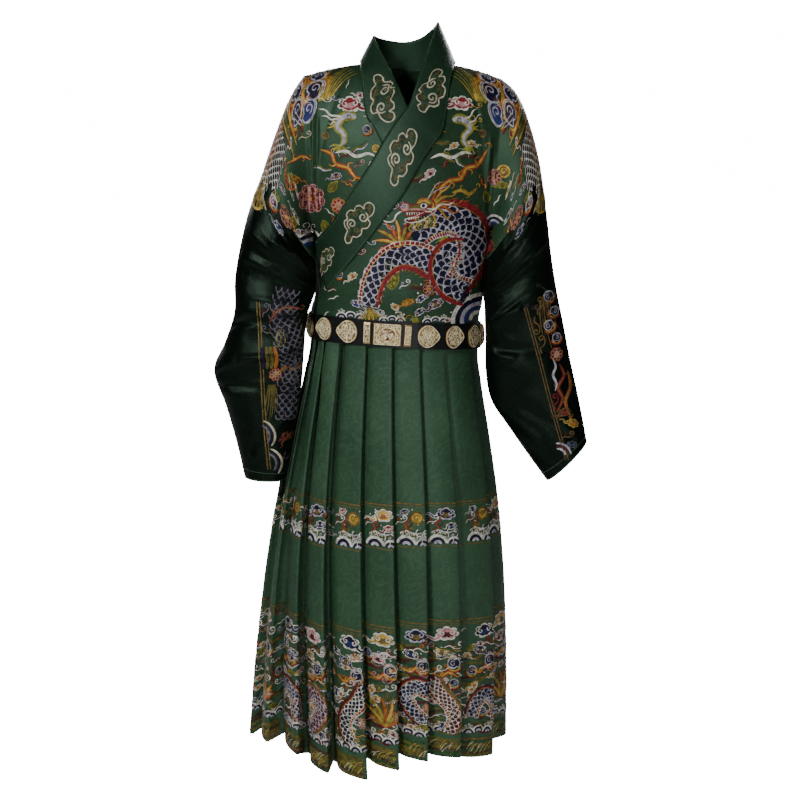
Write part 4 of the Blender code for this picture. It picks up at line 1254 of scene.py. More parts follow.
class Needle:
    """Thread work in millimetres on a canvas, a function from (x, y) to a point and a normal."""

    def __init__(self, canvas, detail=1.0):
        """Empty thread work. More detail makes shorter steps."""
        self.canvas = canvas
        self.detail = detail
        self.bm = bmesh.new()
        self.uv = self.bm.loops.layers.uv.verify()
        self.out = []
        self.frame()

    def frame(self, x=0.0, y=0.0, angle=0.0, scale=1.0, flip=1.0):
        """Where the next motif is drawn."""
        self.origin = (x, y)
        self.turn = math.radians(angle)
        self.scale = scale
        self.flip = flip

    def spot(self, point):
        """Canvas place of a point of the motif."""
        x = point[0] * self.scale * self.flip
        y = point[1] * self.scale
        c = math.cos(self.turn)
        s = math.sin(self.turn)
        return self.origin[0] + x * c - y * s, self.origin[1] + x * s + y * c

    def vertex(self, place, lift):
        """Vertex above a canvas place, in millimetres of lift."""
        point, normal = self.canvas(place[0] * MM, place[1] * MM)
        self.out.append(normal)
        return self.bm.verts.new(point + normal * (lift * MM))

    def add_face(self, corners, uvs, dye):
        """One face with its UVs in metres."""
        face = self.bm.faces.new(corners)
        face.material_index = DYE_ORDER.index(dye)
        for loop, (u, v) in zip(face.loops, uvs):
            loop[self.uv].uv = (u * MM, v * MM)

    def line(self, points, width, dye, lift=0.5, ends=(0.15, 0.15), closed=False, raw=False, dome=0.25):
        """Satin stitched line. width is in millimetres, or a function of the share along it."""
        path = points if raw else spline(points, 2.6 / self.detail / self.scale, closed)
        path = [self.spot(point) for point in path]
        count = len(path)
        lengths = running(path)
        total = lengths[-1] or 1.0
        rows = []
        for i, (x, y) in enumerate(path):
            if closed:
                (ax, ay), (bx, by) = path[i - 1], path[(i + 1) % count]
            else:
                (ax, ay), (bx, by) = path[max(0, i - 1)], path[min(count - 1, i + 1)]
            length = math.hypot(bx - ax, by - ay) or 1.0
            share = lengths[i] / total
            size = width(share) * self.scale if callable(width) else width
            for part, end in zip((share, 1.0 - share), ends):
                if part < end and not closed:
                    size *= 0.25 + 0.75 * math.sqrt(part / end)
            rows.append((x, y, -(by - ay) / length * size * 0.5, (bx - ax) / length * size * 0.5, size))
        widest = max(row[4] for row in rows)
        across = 2 if widest < 5.0 else (4 if widest < 16.0 else 8)
        made = []
        for x, y, nx, ny, _ in rows:
            row = []
            for k in range(across + 1):
                v = 2.0 * k / across - 1.0
                row.append(self.vertex((x + nx * v, y + ny * v), lift + dome * (1.0 - v * v)))
            made.append(row)
        for i in range(count if closed else count - 1):
            j = (i + 1) % count
            u0 = lengths[i]
            u1 = lengths[j] if j else total
            for k in range(across):
                v0 = rows[i][4] * k / across
                v1 = rows[i][4] * (k + 1) / across
                self.add_face((made[i][k], made[j][k], made[j][k + 1], made[i][k + 1]),
                              ((u0, v0), (u1, v0), (u1, v1), (u0, v1)), dye)

    def ring(self, points, width, dye, lift, dome=0.25):
        """Closed line of even width, which grows with the motif."""
        self.line(points, width * self.scale, dye, lift, closed=True, dome=dome)

    def wire(self, points, width, dye, lift):
        """Open line of even width, which grows with the motif."""
        self.line(points, width * self.scale, dye, lift)

    def fill(self, outline, dye, lift=0.3, raw=False):
        """Filled shape from a closed outline."""
        ring = outline if raw else spline(outline, 2.8 / self.detail / self.scale, True)
        ring = [self.spot(point) for point in ring]
        xs, ys = zip(*ring)
        points = [Vector(point) for point in ring]
        grid = 5.0 / self.detail
        if min(max(xs) - min(xs), max(ys) - min(ys)) > 1.6 * grid:
            y = min(ys) + 0.5 * grid
            while y < max(ys):
                x = min(xs) + 0.5 * grid
                while x < max(xs):
                    if inside(ring, x, y, 0.35 * grid):
                        points.append(Vector((x, y)))
                    x += grid
                y += grid
        count = len(ring)
        edges = [(i, (i + 1) % count) for i in range(count)]
        places, _, faces, *_ = delaunay_2d_cdt(points, edges, [], 1, 0.0001)
        verts = [self.vertex(place, lift) for place in places]
        for corners in faces:
            try:
                self.add_face([verts[k] for k in corners], [places[k] for k in corners], dye)
            except ValueError:
                continue

    def dot(self, x, y, radius, dye, lift=0.5):
        """Small round knot."""
        angles = [a * math.pi / 4.0 for a in range(8)]
        ring = [(x + radius * math.cos(angle), y + radius * math.sin(angle)) for angle in angles]
        self.fill(ring, dye, lift, raw=True)

    def join(self, other):
        """Takes over the thread work of another canvas."""
        mesh = bpy.data.meshes.new("joined")
        other.bm.to_mesh(mesh)
        other.bm.free()
        self.bm.from_mesh(mesh)
        bpy.data.meshes.remove(mesh)
        self.out.extend(other.out)

    def finish(self, name, slot="robe_silk"):
        """Object of all the thread work so far, facing outwards."""
        self.bm.verts.index_update()
        self.bm.normal_update()
        for face in self.bm.faces:
            if face.normal.dot(self.out[face.verts[0].index]) < 0.0:
                face.normal_flip()
        used = sorted({face.material_index for face in self.bm.faces})
        for face in self.bm.faces:
            face.material_index = used.index(face.material_index)
        obj = new_object(name, self.bm, [THREADS[DYE_ORDER[k]] for k in used])


def inside(ring, x, y, margin):
    """Whether a place lies inside a closed ring and not close to its edge."""
    odd = False
    for (ax, ay), (bx, by) in zip([ring[-1], *ring], ring):
        if (ay > y) != (by > y) and x < (bx - ax) * (y - ay) / (by - ay) + ax:
            odd = not odd
        dx = bx - ax
        dy = by - ay
        along = clamp(((x - ax) * dx + (y - ay) * dy) / (dx * dx + dy * dy or 1.0))
        if math.hypot(x - ax - dx * along, y - ay - dy * along) < margin:
            return False
    return odd


def spiral(x, y, radius, turns, start=0.0, hand=1.0):
    """Points of a spiral that winds inwards."""
    points = []
    steps = max(8, int(turns * 9))
    for i in range(steps + 1):
        share = i / steps
        angle = math.radians(start) + hand * 2.0 * math.pi * turns * share
        reach = radius * (1.0 - 0.86 * share)
        points.append((x + reach * math.cos(angle), y + reach * math.sin(angle)))
    return points


def lobed(x, y, half_width, half_height, lobes, depth=0.2, phase=0.0):
    """Outline with round lobes, as a cloud head or a petal ring."""
    points = []
    count = lobes * 6
    for i in range(count):
        share = i / count
        angle = 2.0 * math.pi * share + math.radians(phase)
        bulge = 1.0 - depth + depth * abs(math.sin(math.pi * lobes * share)) ** 0.6
        points.append((x + half_width * bulge * math.cos(angle), y + half_height * bulge * math.sin(angle)))
    return points


def arc(x, y, radius, start, end, steps=10):
    """Points along a round arc, in degrees."""
    points = []
    for i in range(steps + 1):
        angle = math.radians(mix(start, end, i / steps))
        points.append((x + radius * math.cos(angle), y + radius * math.sin(angle)))
    return points


def grown(points, size):
    """Points of a motif made larger or smaller."""
    return [(x * size, y * size) for x, y in points]


def tapered(width, thin=0.7):
    """Width function of a line that thins towards its end."""
    return lambda t: width * (1.0 - thin * t)


def swelling(width):
    """Width function of a line that is widest in its middle."""
    return lambda t: width * (0.35 + 0.65 * math.sin(math.pi * min(1.0, 0.06 + 0.88 * t)))


def cloud(needle, rim, middle, heart):
    """Cloud head about 38 mm wide: pale scalloped rim, graded fill, curls, and a tail to the left."""
    trail = ((-10.0, -3.0), (-21.0, -8.0), (-31.0, -3.0), (-40.0, -9.0))
    needle.line(trail, tapered(8.4, 0.75), rim, 0.35)
    needle.line(trail, tapered(4.6, 0.9), middle, 0.55)
    needle.fill(lobed(0.0, 0.0, 19.0, 12.0, 7, 0.26, 12.0), rim, 0.40)
    needle.fill(lobed(0.0, 0.0, 16.4, 9.4, 7, 0.26, 12.0), middle, 0.60)
    needle.fill(lobed(0.0, -1.8, 9.6, 4.6, 5, 0.22, 12.0), heart, 0.75)
    for hand in (-1.0, 1.0):
        needle.wire(spiral(hand * 7.2, 1.2, 5.0, 1.15, 90.0, -hand), 1.9, rim, 0.95)
    needle.wire(((-12.0, -5.0), (-4.0, -9.0), (4.0, -9.0), (12.0, -5.0)), 1.6, rim, 0.9)


def crest(needle, radius, rings, foam=True):
    """Round wave: arcs of white and blue, with foam curls on top."""
    band = radius / (rings + 0.6)
    for k in range(rings):
        line = arc(0.0, 0.0, radius - band * (k + 0.5), 172.0, 8.0, 12)
        dye = ("white", "navy", "lilac", "blue")[k % 4]
        needle.line(line, band * 0.92 * needle.scale, dye, 0.45 + 0.1 * k, (0.06, 0.06))
    if foam:
        for hand, x, y, reach in ((1.0, -0.45, 1.12, 0.22), (-1.0, 0.45, 1.12, 0.22), (1.0, 0.0, 1.32, 0.26)):
            curled = spiral(x * radius, y * radius, reach * radius, 1.1, 250.0, hand)
            needle.wire(curled, 1.3, "white", 0.8)
            stem = ((x * radius * 0.8, 0.96 * radius), (x * radius, (y - reach * 0.6) * radius))
            needle.wire(stem, 1.2, "white", 0.7)


def flame(needle, length, dyes=("red", "orange", "gold")):
    """Curling flame tongue that rises along +y."""
    base = grown(((0.0, 0.0), (0.16, 0.20), (-0.02, 0.42), (0.14, 0.66), (0.05, 0.84), (0.20, 1.0)), length)
    for k, (dye, width) in enumerate(zip(dyes, (0.20, 0.12, 0.05))):
        needle.line(base, tapered(width * length, 0.75), dye, 0.45 + 0.16 * k, (0.1, 0.05))
    hook = grown(((0.10, 0.30), (0.28, 0.40), (0.30, 0.56), (0.22, 0.60)), length)
    needle.line(hook, 0.07 * length * needle.scale, dyes[0], 0.5)


def flower(needle, radius, outer="wine", middle="red", heart="pink"):
    """Peony: rings of lobed petals with pale edges."""
    needle.fill(lobed(0.0, 0.0, radius, radius * 1.08, 8, 0.16), heart, 0.38)
    needle.fill(lobed(0.0, 0.0, radius * 0.93, radius, 8, 0.16), outer, 0.50)
    for k in range(8):
        angle = math.radians(45.0 * k + 22.0)
        petal = lobed(0.56 * radius * math.cos(angle), 0.58 * radius * math.sin(angle),
                      0.30 * radius, 0.30 * radius, 5)
        needle.ring(petal, 0.9, "pink" if k % 2 else "gold", 0.78)
    needle.fill(lobed(0.0, 0.0, radius * 0.46, radius * 0.48, 6, 0.22, 20.0), middle, 0.72)
    needle.ring(lobed(0.0, 0.0, radius * 0.44, radius * 0.46, 6, 0.22, 20.0), 0.9, "pink", 0.95)
    needle.fill(lobed(0.0, 0.0, radius * 0.18, radius * 0.18, 5), "gold", 1.0)


def leaf(needle, length, dye="olive", rib="lime"):
    """Pointed leaf along +y with a rib."""
    outline = grown(((0.0, 0.0), (0.24, 0.22), (0.28, 0.50), (0.12, 0.82), (0.0, 1.0),
                     (-0.12, 0.80), (-0.26, 0.50), (-0.20, 0.20)), length)
    needle.fill(outline, dye, 0.42)
    needle.ring(outline, 1.1, rib, 0.7)
    needle.wire(((0.0, 0.1 * length), (0.03 * length, 0.5 * length), (0.0, 0.9 * length)), 0.9, rib, 0.7)


def roundel(needle, radius, outer="gold", inner="dull_gold"):
    """Flat pearl: rings of gold thread."""
    needle.fill(lobed(0.0, 0.0, radius, radius, 12, 0.05), outer, 0.45)
    needle.fill(lobed(0.0, 0.0, radius * 0.72, radius * 0.72, 12, 0.05), inner, 0.6)
    needle.line(spiral(0.0, 0.0, radius * 0.5, 1.2), radius * 0.14 * needle.scale, outer, 0.75)


def hair(needle, length, count, gap, bend, dyes=("gold", "lime")):
    """Strands of mane that sweep up +y and bend to one side."""
    for k in range(count):
        x = (k - 0.5 * (count - 1)) * gap
        reach = length * (1.0 - 0.10 * abs(k - 0.5 * count))
        line = ((x * 0.5, 0.0), (x * 0.8 + bend * 0.10, 0.35 * reach), (x + bend * 0.45, 0.72 * reach),
                (x * 1.25 + bend, reach))
        needle.line(line, tapered(0.62 * gap), dyes[k % len(dyes)], 0.6, (0.1, 0.05))


class Spine:
    """Middle line of a scaled body, read by distance along it and distance off it."""

    def __init__(self, points):
        """Measures a smooth line through the points."""
        self.path = spline(points, 2.6)
        self.lengths = running(self.path)
        self.total = self.lengths[-1]

    def at(self, distance, off):
        """Place beside the line."""
        distance = min(self.total, max(0.0, distance))
        i = interval(self.lengths, distance)
        share = (distance - self.lengths[i]) / (self.lengths[i + 1] - self.lengths[i] or 1.0)
        ax, ay = self.path[i]
        bx, by = self.path[i + 1]
        cx, cy = self.path[max(0, i - 1)]
        ex, ey = self.path[min(len(self.path) - 1, i + 2)]
        hx = mix(bx - cx, ex - ax, share)
        hy = mix(by - cy, ey - ay, share)
        length = math.hypot(hx, hy) or 1.0
        return (mix(ax, bx, share) - hy / length * off, mix(ay, by, share) + hx / length * off)


def scale_net(needle, line, width, scale, side, covered, start, thread):
    """Rows of scale rims over a body, from the back to where its belly starts."""
    rim_width, rim, lift = thread
    for r in range(int(line.total / (scale * 0.62))):
        distance = (r + 0.5) * scale * 0.62
        size = width(distance / line.total)
        count = max(1, round(size * covered / scale))
        pitch = size * covered / count
        for k in range(count + (0 if r % 2 else 1)):
            off = side * (start * size + (k + (0.5 if r % 2 else 0.0)) * pitch)
            scale_line = []
            for step in range(6):
                angle = math.pi * step / 5.0
                scale_line.append(line.at(distance + 0.80 * scale * math.sin(angle),
                                          off + 0.5 * pitch * math.cos(angle)))
            needle.line(scale_line, rim_width * needle.scale, rim, lift, (0.0, 0.0), raw=True, dome=0.1)


def back_and_belly(needle, line, width, spine, side, lift):
    """Ridged back and barred belly of a scaled body."""
    steps = max(6, int(line.total / 4.0))
    for off, thread, dye, above, dome in (
            (0.46, lambda t: max(2.6, 0.15 * width(t)), spine, 0.60, 0.25),
            (0.36, 1.7 * needle.scale, "orange", 0.68, 0.1),
            (-0.46, lambda t: max(2.4, 0.13 * width(t)), "red", 0.55, 0.25),
            (-0.53, 1.2 * needle.scale, "white", 0.62, 0.1),
            (-0.39, 1.2 * needle.scale, "gold", 0.66, 0.1)):
        places = []
        for k in range(steps + 1):
            distance = line.total * k / steps
            places.append(line.at(distance, side * off * width(distance / line.total)))
        needle.line(places, thread, dye, lift + above, raw=True, dome=dome)
    for k in range(int(line.total / 6.4)):
        distance = (k + 0.5) * 6.4
        size = width(distance / line.total)
        if size > 12.0:
            bar = (line.at(distance, -side * 0.53 * size), line.at(distance, -side * 0.39 * size))
            needle.line(bar, 1.5 * needle.scale, "white", lift + 0.75, (0.0, 0.0), raw=True, dome=0.1)


def scaled_body(needle, points, width, scale=11.0, base="navy", rim="lilac", spine="red",
                side=1.0, spikes=True, lift=0.35, rim_width=2.2, plain=False):
    """Scaled body along a line: dark ground and scale rims, with its back and belly unless it is plain."""
    line = Spine(points)
    needle.line(line.path, width, base, lift, (0.03, 0.03), raw=True, dome=0.5)
    covered, start = (0.92, -0.46) if plain else (0.76, -0.40)
    scale_net(needle, line, width, scale, side, covered, start, (rim_width, rim, lift + 0.45))
    if plain:
        return
    back_and_belly(needle, line, width, spine, side, lift)
    if spikes:
        for k in range(int(line.total / 12.0)):
            distance = (k + 0.5) * 12.0
            size = width(distance / line.total)
            root = line.at(distance, side * 0.52 * size)
            tip = line.at(distance + 6.0, side * (0.52 * size + 5.0))
            needle.line((root, tip), 3.0 * needle.scale, "orange", lift + 0.3, (0.0, 0.7))


def skin_tree(objects):
    """Search tree over the outer faces of some cloth pieces."""
    points = []
    faces = []
    for obj in objects:
        first = len(points)
        points.extend(vert.co.copy() for vert in obj.data.vertices)
        faces.extend([first + k for k in polygon.vertices] for polygon in obj.data.polygons)
    return BVHTree.FromPolygons(points, faces)


def ray_canvas(tree, side):
    """Canvas of x and z, seen straight from the front (-1) or the back (1)."""
    def place(x, z):
        """Point and outward normal of the nearest cloth."""
        point, normal, _, _ = tree.ray_cast(Vector((x, side * 1.0, z)), Vector((0.0, -side, 0.0)))
        if point is None:
            point, normal, _, _ = tree.find_nearest(Vector((x, side * 0.10, z)))
        return point, -normal if normal.y * side < 0.0 else normal
    return place


def square_to(canvas, x, y, step):
    """Direction square to a canvas at a place, its length left as it comes."""
    across = canvas.at(x + step, y) - canvas.at(x - step, y)
    along = canvas.at(x, y + step) - canvas.at(x, y - step)
    return across.cross(along)


class Arm:
    """Canvas round the top of an arm: x runs round from the ridge, forwards, and y up towards the neck."""

    def __init__(self, side):
        """Measures the ridge of the arm and the half rings below it."""
        self.side = side
        self.step = 0.25
        count = int((len(sleeve_tables(side)[0]) - 1) / self.step)
        places = [k * self.step for k in range(count + 1)]
        self.ridge = spaced([sleeve_skin(side, where, 0.0, FACE_FRONT) for where in places])
        self.rings = []
        for where in places:
            ring = [sleeve_skin(side, where, math.pi * i / 16.0, FACE_FRONT) for i in range(17)]
            self.rings.append(spaced(ring)[-1])
        start = torso_skin(0.0, 0.999, FACE_FRONT)
        self.neck = (torso_skin(side * 1.0, 0.999, FACE_FRONT) - start).length

    def at(self, x, y):
        """Point on the skin."""
        face = FACE_FRONT if x >= 0.0 else FACE_BACK
        along = -y
        if along <= 0.0:
            share = max(0.02, 1.0 + along / self.neck)
            angle = math.pi * min(1.0, abs(x) / self.rings[0])
            t = ARMPIT_ROW + (1.0 - ARMPIT_ROW) * (1.0 - angle / math.pi)
            return torso_skin(self.side * share, min(t, 0.9995), face)
        i = interval(self.ridge, along)
        share = min(1.0, (along - self.ridge[i]) / (self.ridge[i + 1] - self.ridge[i]))
        half = mix(self.rings[i], self.rings[i + 1], share)
        return sleeve_skin(self.side, (i + share) * self.step, math.pi * min(1.0, abs(x) / half), face)

    def __call__(self, x, y):
        """Point and outward normal."""
        normal = square_to(self, x, y, 0.0012).normalized()
        outward = Vector((self.side * 0.6, -0.8 if x >= 0.0 else 0.8, 0.5))
        return self.at(x, y), -normal if normal.dot(outward) < 0.0 else normal


class Strip:
    """Canvas of the collar: x across from the seam edge, y along from the outer end."""

    def __init__(self, rows):
        """Measures the strip along its middle."""
        self.rows = rows
        middle = len(rows[0]) // 2
        self.along = spaced([row[middle] for row in rows])

    def at(self, x, y):
        """Point on the strip."""
        i = interval(self.along, y)
        share = clamp((y - self.along[i]) / (self.along[i + 1] - self.along[i]))
        low = self.rows[i]
        high = self.rows[i + 1]
        place = min(0.999, max(0.001, x / (low[-1] - low[0]).length)) * (len(low) - 1)
        k = int(place)
        return low[k].lerp(low[k + 1], place - k).lerp(high[k].lerp(high[k + 1], place - k), share)

    def width(self, y):
        """Width of the strip at a place along it."""
        i = min(range(len(self.along)), key=lambda k: abs(self.along[k] - y))
        return (self.rows[i][-1] - self.rows[i][0]).length

    def __call__(self, x, y):
        """Point and outward normal."""
        return self.at(x, y), -square_to(self, x, y, 0.0015).normalized()


class Pleat:
    """Canvas of one pleat: x from the outer fold, inwards below 0 and round the fold above it, y is z."""

    def __init__(self, i):
        """Canvas of the pleat with this number."""
        self.i = i

    def at(self, x, z):
        """Point on the pleat."""
        level = clamp((WAIST_Z - SEAM_GAP - z) / (WAIST_Z - SEAM_GAP - HEM_Z))
        _, _, width, _, radius = pleat_frame(self.i, level)
        if x <= 0.0:
            return skirt_skin(self.i, level, max(0.06, 1.0 + x / (width - radius)))
        bend = radius * math.radians(fold_turn(level))
        if x <= bend:
            return skirt_skin(self.i, level, 1.0 + x / bend)
        near = skirt_skin(self.i, level, 2.0)
        far = skirt_skin((self.i + 1) % len(PLEATS), level, INNER_SHARE)
        return near.lerp(far, min(1.0, (x - bend) / (far - near).length))

    def __call__(self, x, z):
        """Point and outward normal."""
        normal = square_to(self, x, z, 0.0008)
        if normal.length < 1e-12:
            normal = Vector((0.0, -1.0, 0.0))
        return self.at(x, z), normal.normalized()


def tooth_row(needle, start, end, count, height):
    """Row of pointed teeth from start to end."""
    for k in range(count):
        a = mix(start[0], end[0], k / count), mix(start[1], end[1], k / count)
        b = mix(start[0], end[0], (k + 0.86) / count), mix(start[1], end[1], (k + 0.86) / count)
        tip = 0.5 * (a[0] + b[0]), 0.5 * (a[1] + b[1]) - height
        needle.fill((a, b, tip), "white", 1.25, raw=True)


def ribbon(needle, points, width, dyes=("red", "orange", "gold")):
    """Floating flame ribbon in graded dyes, curled at its end, with hooks on both sides."""
    (ax, ay), (bx, by) = points[-2], points[-1]
    turn = math.degrees(math.atan2(by - ay, bx - ax))
    curled = spiral(bx, by + 0.6 * width, 0.7 * width, 0.8, turn - 90.0)
    for k, dye in enumerate(dyes):
        needle.line(points, swelling(width * (1.0 - 0.33 * k)), dye, 0.42 + 0.14 * k, (0.12, 0.12))
        needle.line(curled, tapered(width * (0.42 - 0.12 * k)), dye, 0.46 + 0.14 * k)
    for k in range(1, len(points) - 1):
        (ax, ay), (bx, by) = points[k - 1], points[k]
        length = math.hypot(bx - ax, by - ay) or 1.0
        hand = 1.0 if k % 2 else -1.0
        nx = -(by - ay) / length * hand * width
        ny = (bx - ax) / length * hand * width
        hook = ((bx, by), (bx + 0.9 * nx - 0.2 * ny, by + 0.9 * ny),
                (bx + 1.2 * nx + 0.6 * ny, by + 1.2 * ny - 0.6 * nx))
        needle.line(hook, tapered(width * 0.46), dyes[0], 0.40)
        needle.line(hook, tapered(width * 0.24), dyes[-1], 0.60)


MANE = (
    # degrees, length and dye of each lock
    (70.0, 44.0, "orange"), (48.0, 54.0, "gold"), (26.0, 50.0, "lime"),
    (4.0, 52.0, "gold"), (-18.0, 46.0, "orange"), (-40.0, 36.0, "gold"),
)
JAW = (
    (16.0, -8.0), (4.0, -17.0), (-14.0, -23.0), (-34.0, -23.0), (-42.0, -16.0), (-24.0, -13.0), (2.0, -5.0),
)
SKULL = (
    (20.0, -6.0), (23.0, 10.0), (13.0, 21.0), (-2.0, 21.0), (-12.0, 14.0), (-26.0, 12.0), (-34.0, 18.0),
    (-46.0, 17.0), (-50.0, 7.0), (-40.0, 0.0), (-22.0, -2.0), (-4.0, -4.0), (8.0, -9.0),
)


def beast_head(needle):
    """Head of the flying fish, about 95 mm long, looking to -x, with its mane behind it."""
    for k, (angle, length, dye) in enumerate(MANE):
        c = math.cos(math.radians(angle))
        s = math.sin(math.radians(angle))
        line = ((16.0, 2.0), (18.0 + 0.5 * length * c, 4.0 + 0.5 * length * s + 5.0),
                (18.0 + length * c, 2.0 + length * s - 3.0),
                (20.0 + 1.25 * length * c, 7.0 + 1.2 * length * s))
        needle.line(line, tapered(10.0, 0.8), "red", 0.80 + 0.02 * k, (0.1, 0.05))
        needle.line(line, tapered(6.4, 0.8), dye, 0.95 + 0.02 * k, (0.1, 0.05))
    needle.fill(JAW, "navy", 0.95)
    needle.ring(JAW, 2.2, "white", 1.1)
    needle.line(((2.0, -6.0), (-14.0, -11.0), (-30.0, -10.0), (-42.0, -5.0)), tapered(8.0), "red", 1.05)
    needle.fill(SKULL, "olive", 1.05)
    needle.ring(SKULL, 3.0, "red", 1.2)
    needle.wire(((-46.0, 2.0), (-32.0, 4.0), (-12.0, 2.0), (6.0, -2.0)), 3.4, "pink", 1.3)
    needle.fill(lobed(-41.0, 12.0, 11.0, 9.0, 5, 0.26), "pink", 1.25)
    needle.fill(lobed(-41.0, 12.0, 7.0, 5.4, 5, 0.26), "lilac", 1.35)
    needle.wire(spiral(-41.0, 12.0, 5.0, 1.1, 180.0), 1.7, "wine", 1.45)
    tooth_row(needle, (-38.0, 0.0), (-8.0, -2.5), 6, 8.0)
    tooth_row(needle, (-12.0, -15.0), (-36.0, -18.0), 5, -6.0)
    needle.wire(((-14.0, 14.0), (-5.0, 18.5), (6.0, 17.0), (15.0, 10.0)), 5.4, "gold", 1.3)
    needle.wire(((-12.0, 18.0), (-3.0, 23.0), (9.0, 22.0)), 3.0, "orange", 1.35)
    needle.fill(lobed(0.0, 8.0, 7.6, 6.2, 10, 0.04), "white", 1.35)
    needle.dot(-0.8, 8.0, 3.6, "navy", 1.5)
    needle.ring(lobed(0.0, 8.0, 8.0, 6.6, 10, 0.04), 1.5, "wine", 1.55)
    for reach, rise in ((60.0, 26.0), (46.0, 38.0)):
        horn = ((8.0, 19.0), (22.0, 19.0 + 0.5 * rise), (0.7 * reach, 19.0 + 0.8 * rise),
                (reach, 14.0 + rise))
        needle.line(horn, tapered(5.0, 0.6), "brown", 1.15)
        needle.line(horn, tapered(2.8, 0.6), "cream", 1.25)
    feelers = (
        (((-46.0, 2.0), (-58.0, -4.0), (-66.0, -16.0), (-80.0, -17.0), (-90.0, -10.0)), 4.4, 1.3),
        (((6.0, 2.0), (20.0, -2.0), (36.0, 6.0), (54.0, 4.0), (66.0, 10.0)), 4.6, 1.5),
    )
    for line, width, lift in feelers:
        needle.line(line, tapered(width, 0.6), "white", lift)
    for k in range(9):
        x = -34.0 + 6.4 * k
        beard = ((x, -18.0 + 0.9 * k), (x + 4.0, -27.0), (x - 2.0, -36.0), (x + 6.0, -44.0 + k))
        needle.line(beard, tapered(6.0), ("lime", "olive", "gold")[k % 3], 0.72 + 0.02 * k)


def claw(needle, length=70.0):
    """Raised limb: lilac thigh with a curled joint, olive and lime rim, and hooked white claws."""
    size = length / 70.0
    limb = grown(((24.0, 30.0), (8.0, 34.0), (-10.0, 26.0), (-16.0, 10.0), (-4.0, -4.0), (-2.0, -18.0),
                  (-12.0, -30.0)), size)
    for width, thin, dye, lift in ((27.0, 0.5, "olive", 0.42), (23.0, 0.5, "lime", 0.52),
                                   (17.0, 0.55, "olive", 0.62), (13.0, 0.6, "lilac", 0.74)):
        needle.line(limb, tapered(width * size, thin), dye, lift)
    needle.wire(spiral(8.0 * size, 31.0 * size, 7.0 * size, 1.3, 200.0), 1.8, "olive", 0.95)
    foot_x, foot_y = -12.0 * size, -30.0 * size
    for k in range(5):
        angle = math.radians(165.0 + 42.0 * k)
        c = math.cos(angle) * size
        s = math.sin(angle) * size
        tip = (foot_x + 15.0 * c - 3.0 * s, foot_y + 15.0 * s + 3.0 * c)
        toe = ((foot_x, foot_y), (foot_x + 9.0 * c, foot_y + 9.0 * s), tip)
        needle.line(toe, tapered(7.0 * size, 0.3), "lime", 0.6)
        needle.wire((tip, (tip[0] + 6.0 * c - 5.0 * s, tip[1] + 6.0 * s + 5.0 * c)), 2.8, "white", 0.9)
    for k, dye in enumerate(("gold", "lime", "gold")):
        fan = ((-16.0, 14.0), (-26.0 - 5.0 * k, 22.0 - 7.0 * k), (-34.0 - 3.0 * k, 30.0 - 12.0 * k))
        needle.line(grown(fan, size), tapered(5.0 * size), dye, 0.38)


def fin_wing(needle):
    """Spread wing: graded feathers that fan up from the root."""
    for k in range(7):
        angle = math.radians(156.0 - 22.0 * k)
        reach = 60.0 * (0.62 + 0.38 * math.sin(math.pi * (k + 1.0) / 8.0))
        tip = (reach * math.cos(angle), reach * math.sin(angle))
        feather = ((0.0, 0.0), (0.5 * tip[0] + 5.0, 0.55 * tip[1] + 2.0), tip)
        needle.line(feather, swelling(10.0), "red", 0.45 + 0.04 * k)
        needle.line(feather, swelling(6.0), ("orange", "gold", "lime")[k % 3], 0.60 + 0.04 * k)


def fish_tail(needle, length=46.0):
    """Forked fish tail that opens to +y."""
    for hand in (-1.0, 1.0):
        for k, dye in enumerate(("gold", "lime", "gold", "cream")):
            spread = 6.0 + 9.0 * k
            line = ((0.0, 0.0), (hand * 0.4 * spread, 0.45 * length),
                    (hand * spread, (1.0 - 0.08 * k) * length))
            needle.line(line, lambda t: 2.6 + 7.0 * t * (1.4 - t), dye, 0.6)
            needle.wire(line, 1.1, "brown", 0.85)


def bank(needle, count=3, radius=14.0):
    """Row of overlapping round waves with foam."""
    x0, y0 = needle.origin
    scale = needle.scale
    turn = math.degrees(needle.turn)
    for k in range(count):
        rise = radius * 0.25 if k % 2 else 0.0
        needle.frame(x0 + (k - 0.5 * (count - 1)) * radius * 1.5 * scale, y0 + rise * scale, turn, scale)
        crest(needle, radius, 3, foam=k % 2 == 0)


def swirl(needle, radius=20.0, dye="navy"):
    """Round curl of mane: dark comma in a broad pale rim with graded flame round its foot."""
    for k, band in enumerate(("wine", "red", "orange", "gold")):
        line = arc(0.0, 0.0, radius * (1.46 - 0.13 * k), 185.0, 355.0)
        needle.line(line, swelling(radius * 0.20), band, 0.32 + 0.05 * k)
    comma = grown(((0.90, 0.10), (0.62, 0.66), (0.0, 0.84), (-0.66, 0.60), (-0.90, 0.0),
                   (-0.62, -0.56), (-0.10, -0.70), (0.30, -0.44), (0.62, -0.62)), radius)
    needle.fill(comma, dye, 0.60)
    needle.ring(comma, 2.6, "lilac", 0.72)
    needle.wire(spiral(-0.12 * radius, 0.06 * radius, radius * 0.48, 1.2, 40.0), 2.4, "lilac", 0.80)
    needle.wire(arc(0.0, 0.0, radius * 1.04, 20.0, 150.0), 1.6, "white", 0.76)


def curl(needle, dye="white", heart="red"):
    """Open line curl with a wisp, 34 mm long."""
    stem = ((-18.0, -5.0), (-9.0, -1.0), (0.0, -6.0), (10.0, -5.0))
    needle.line(stem, tapered(3.6, 0.3), heart, 0.50)
    needle.wire(stem, 1.7, dye, 0.68)
    needle.wire(spiral(9.0, 1.5, 6.4, 1.25, 270.0), 2.2, dye, 0.66)
    needle.wire(spiral(-3.0, 3.0, 4.6, 1.1, 250.0, -1.0), 2.0, heart, 0.62)


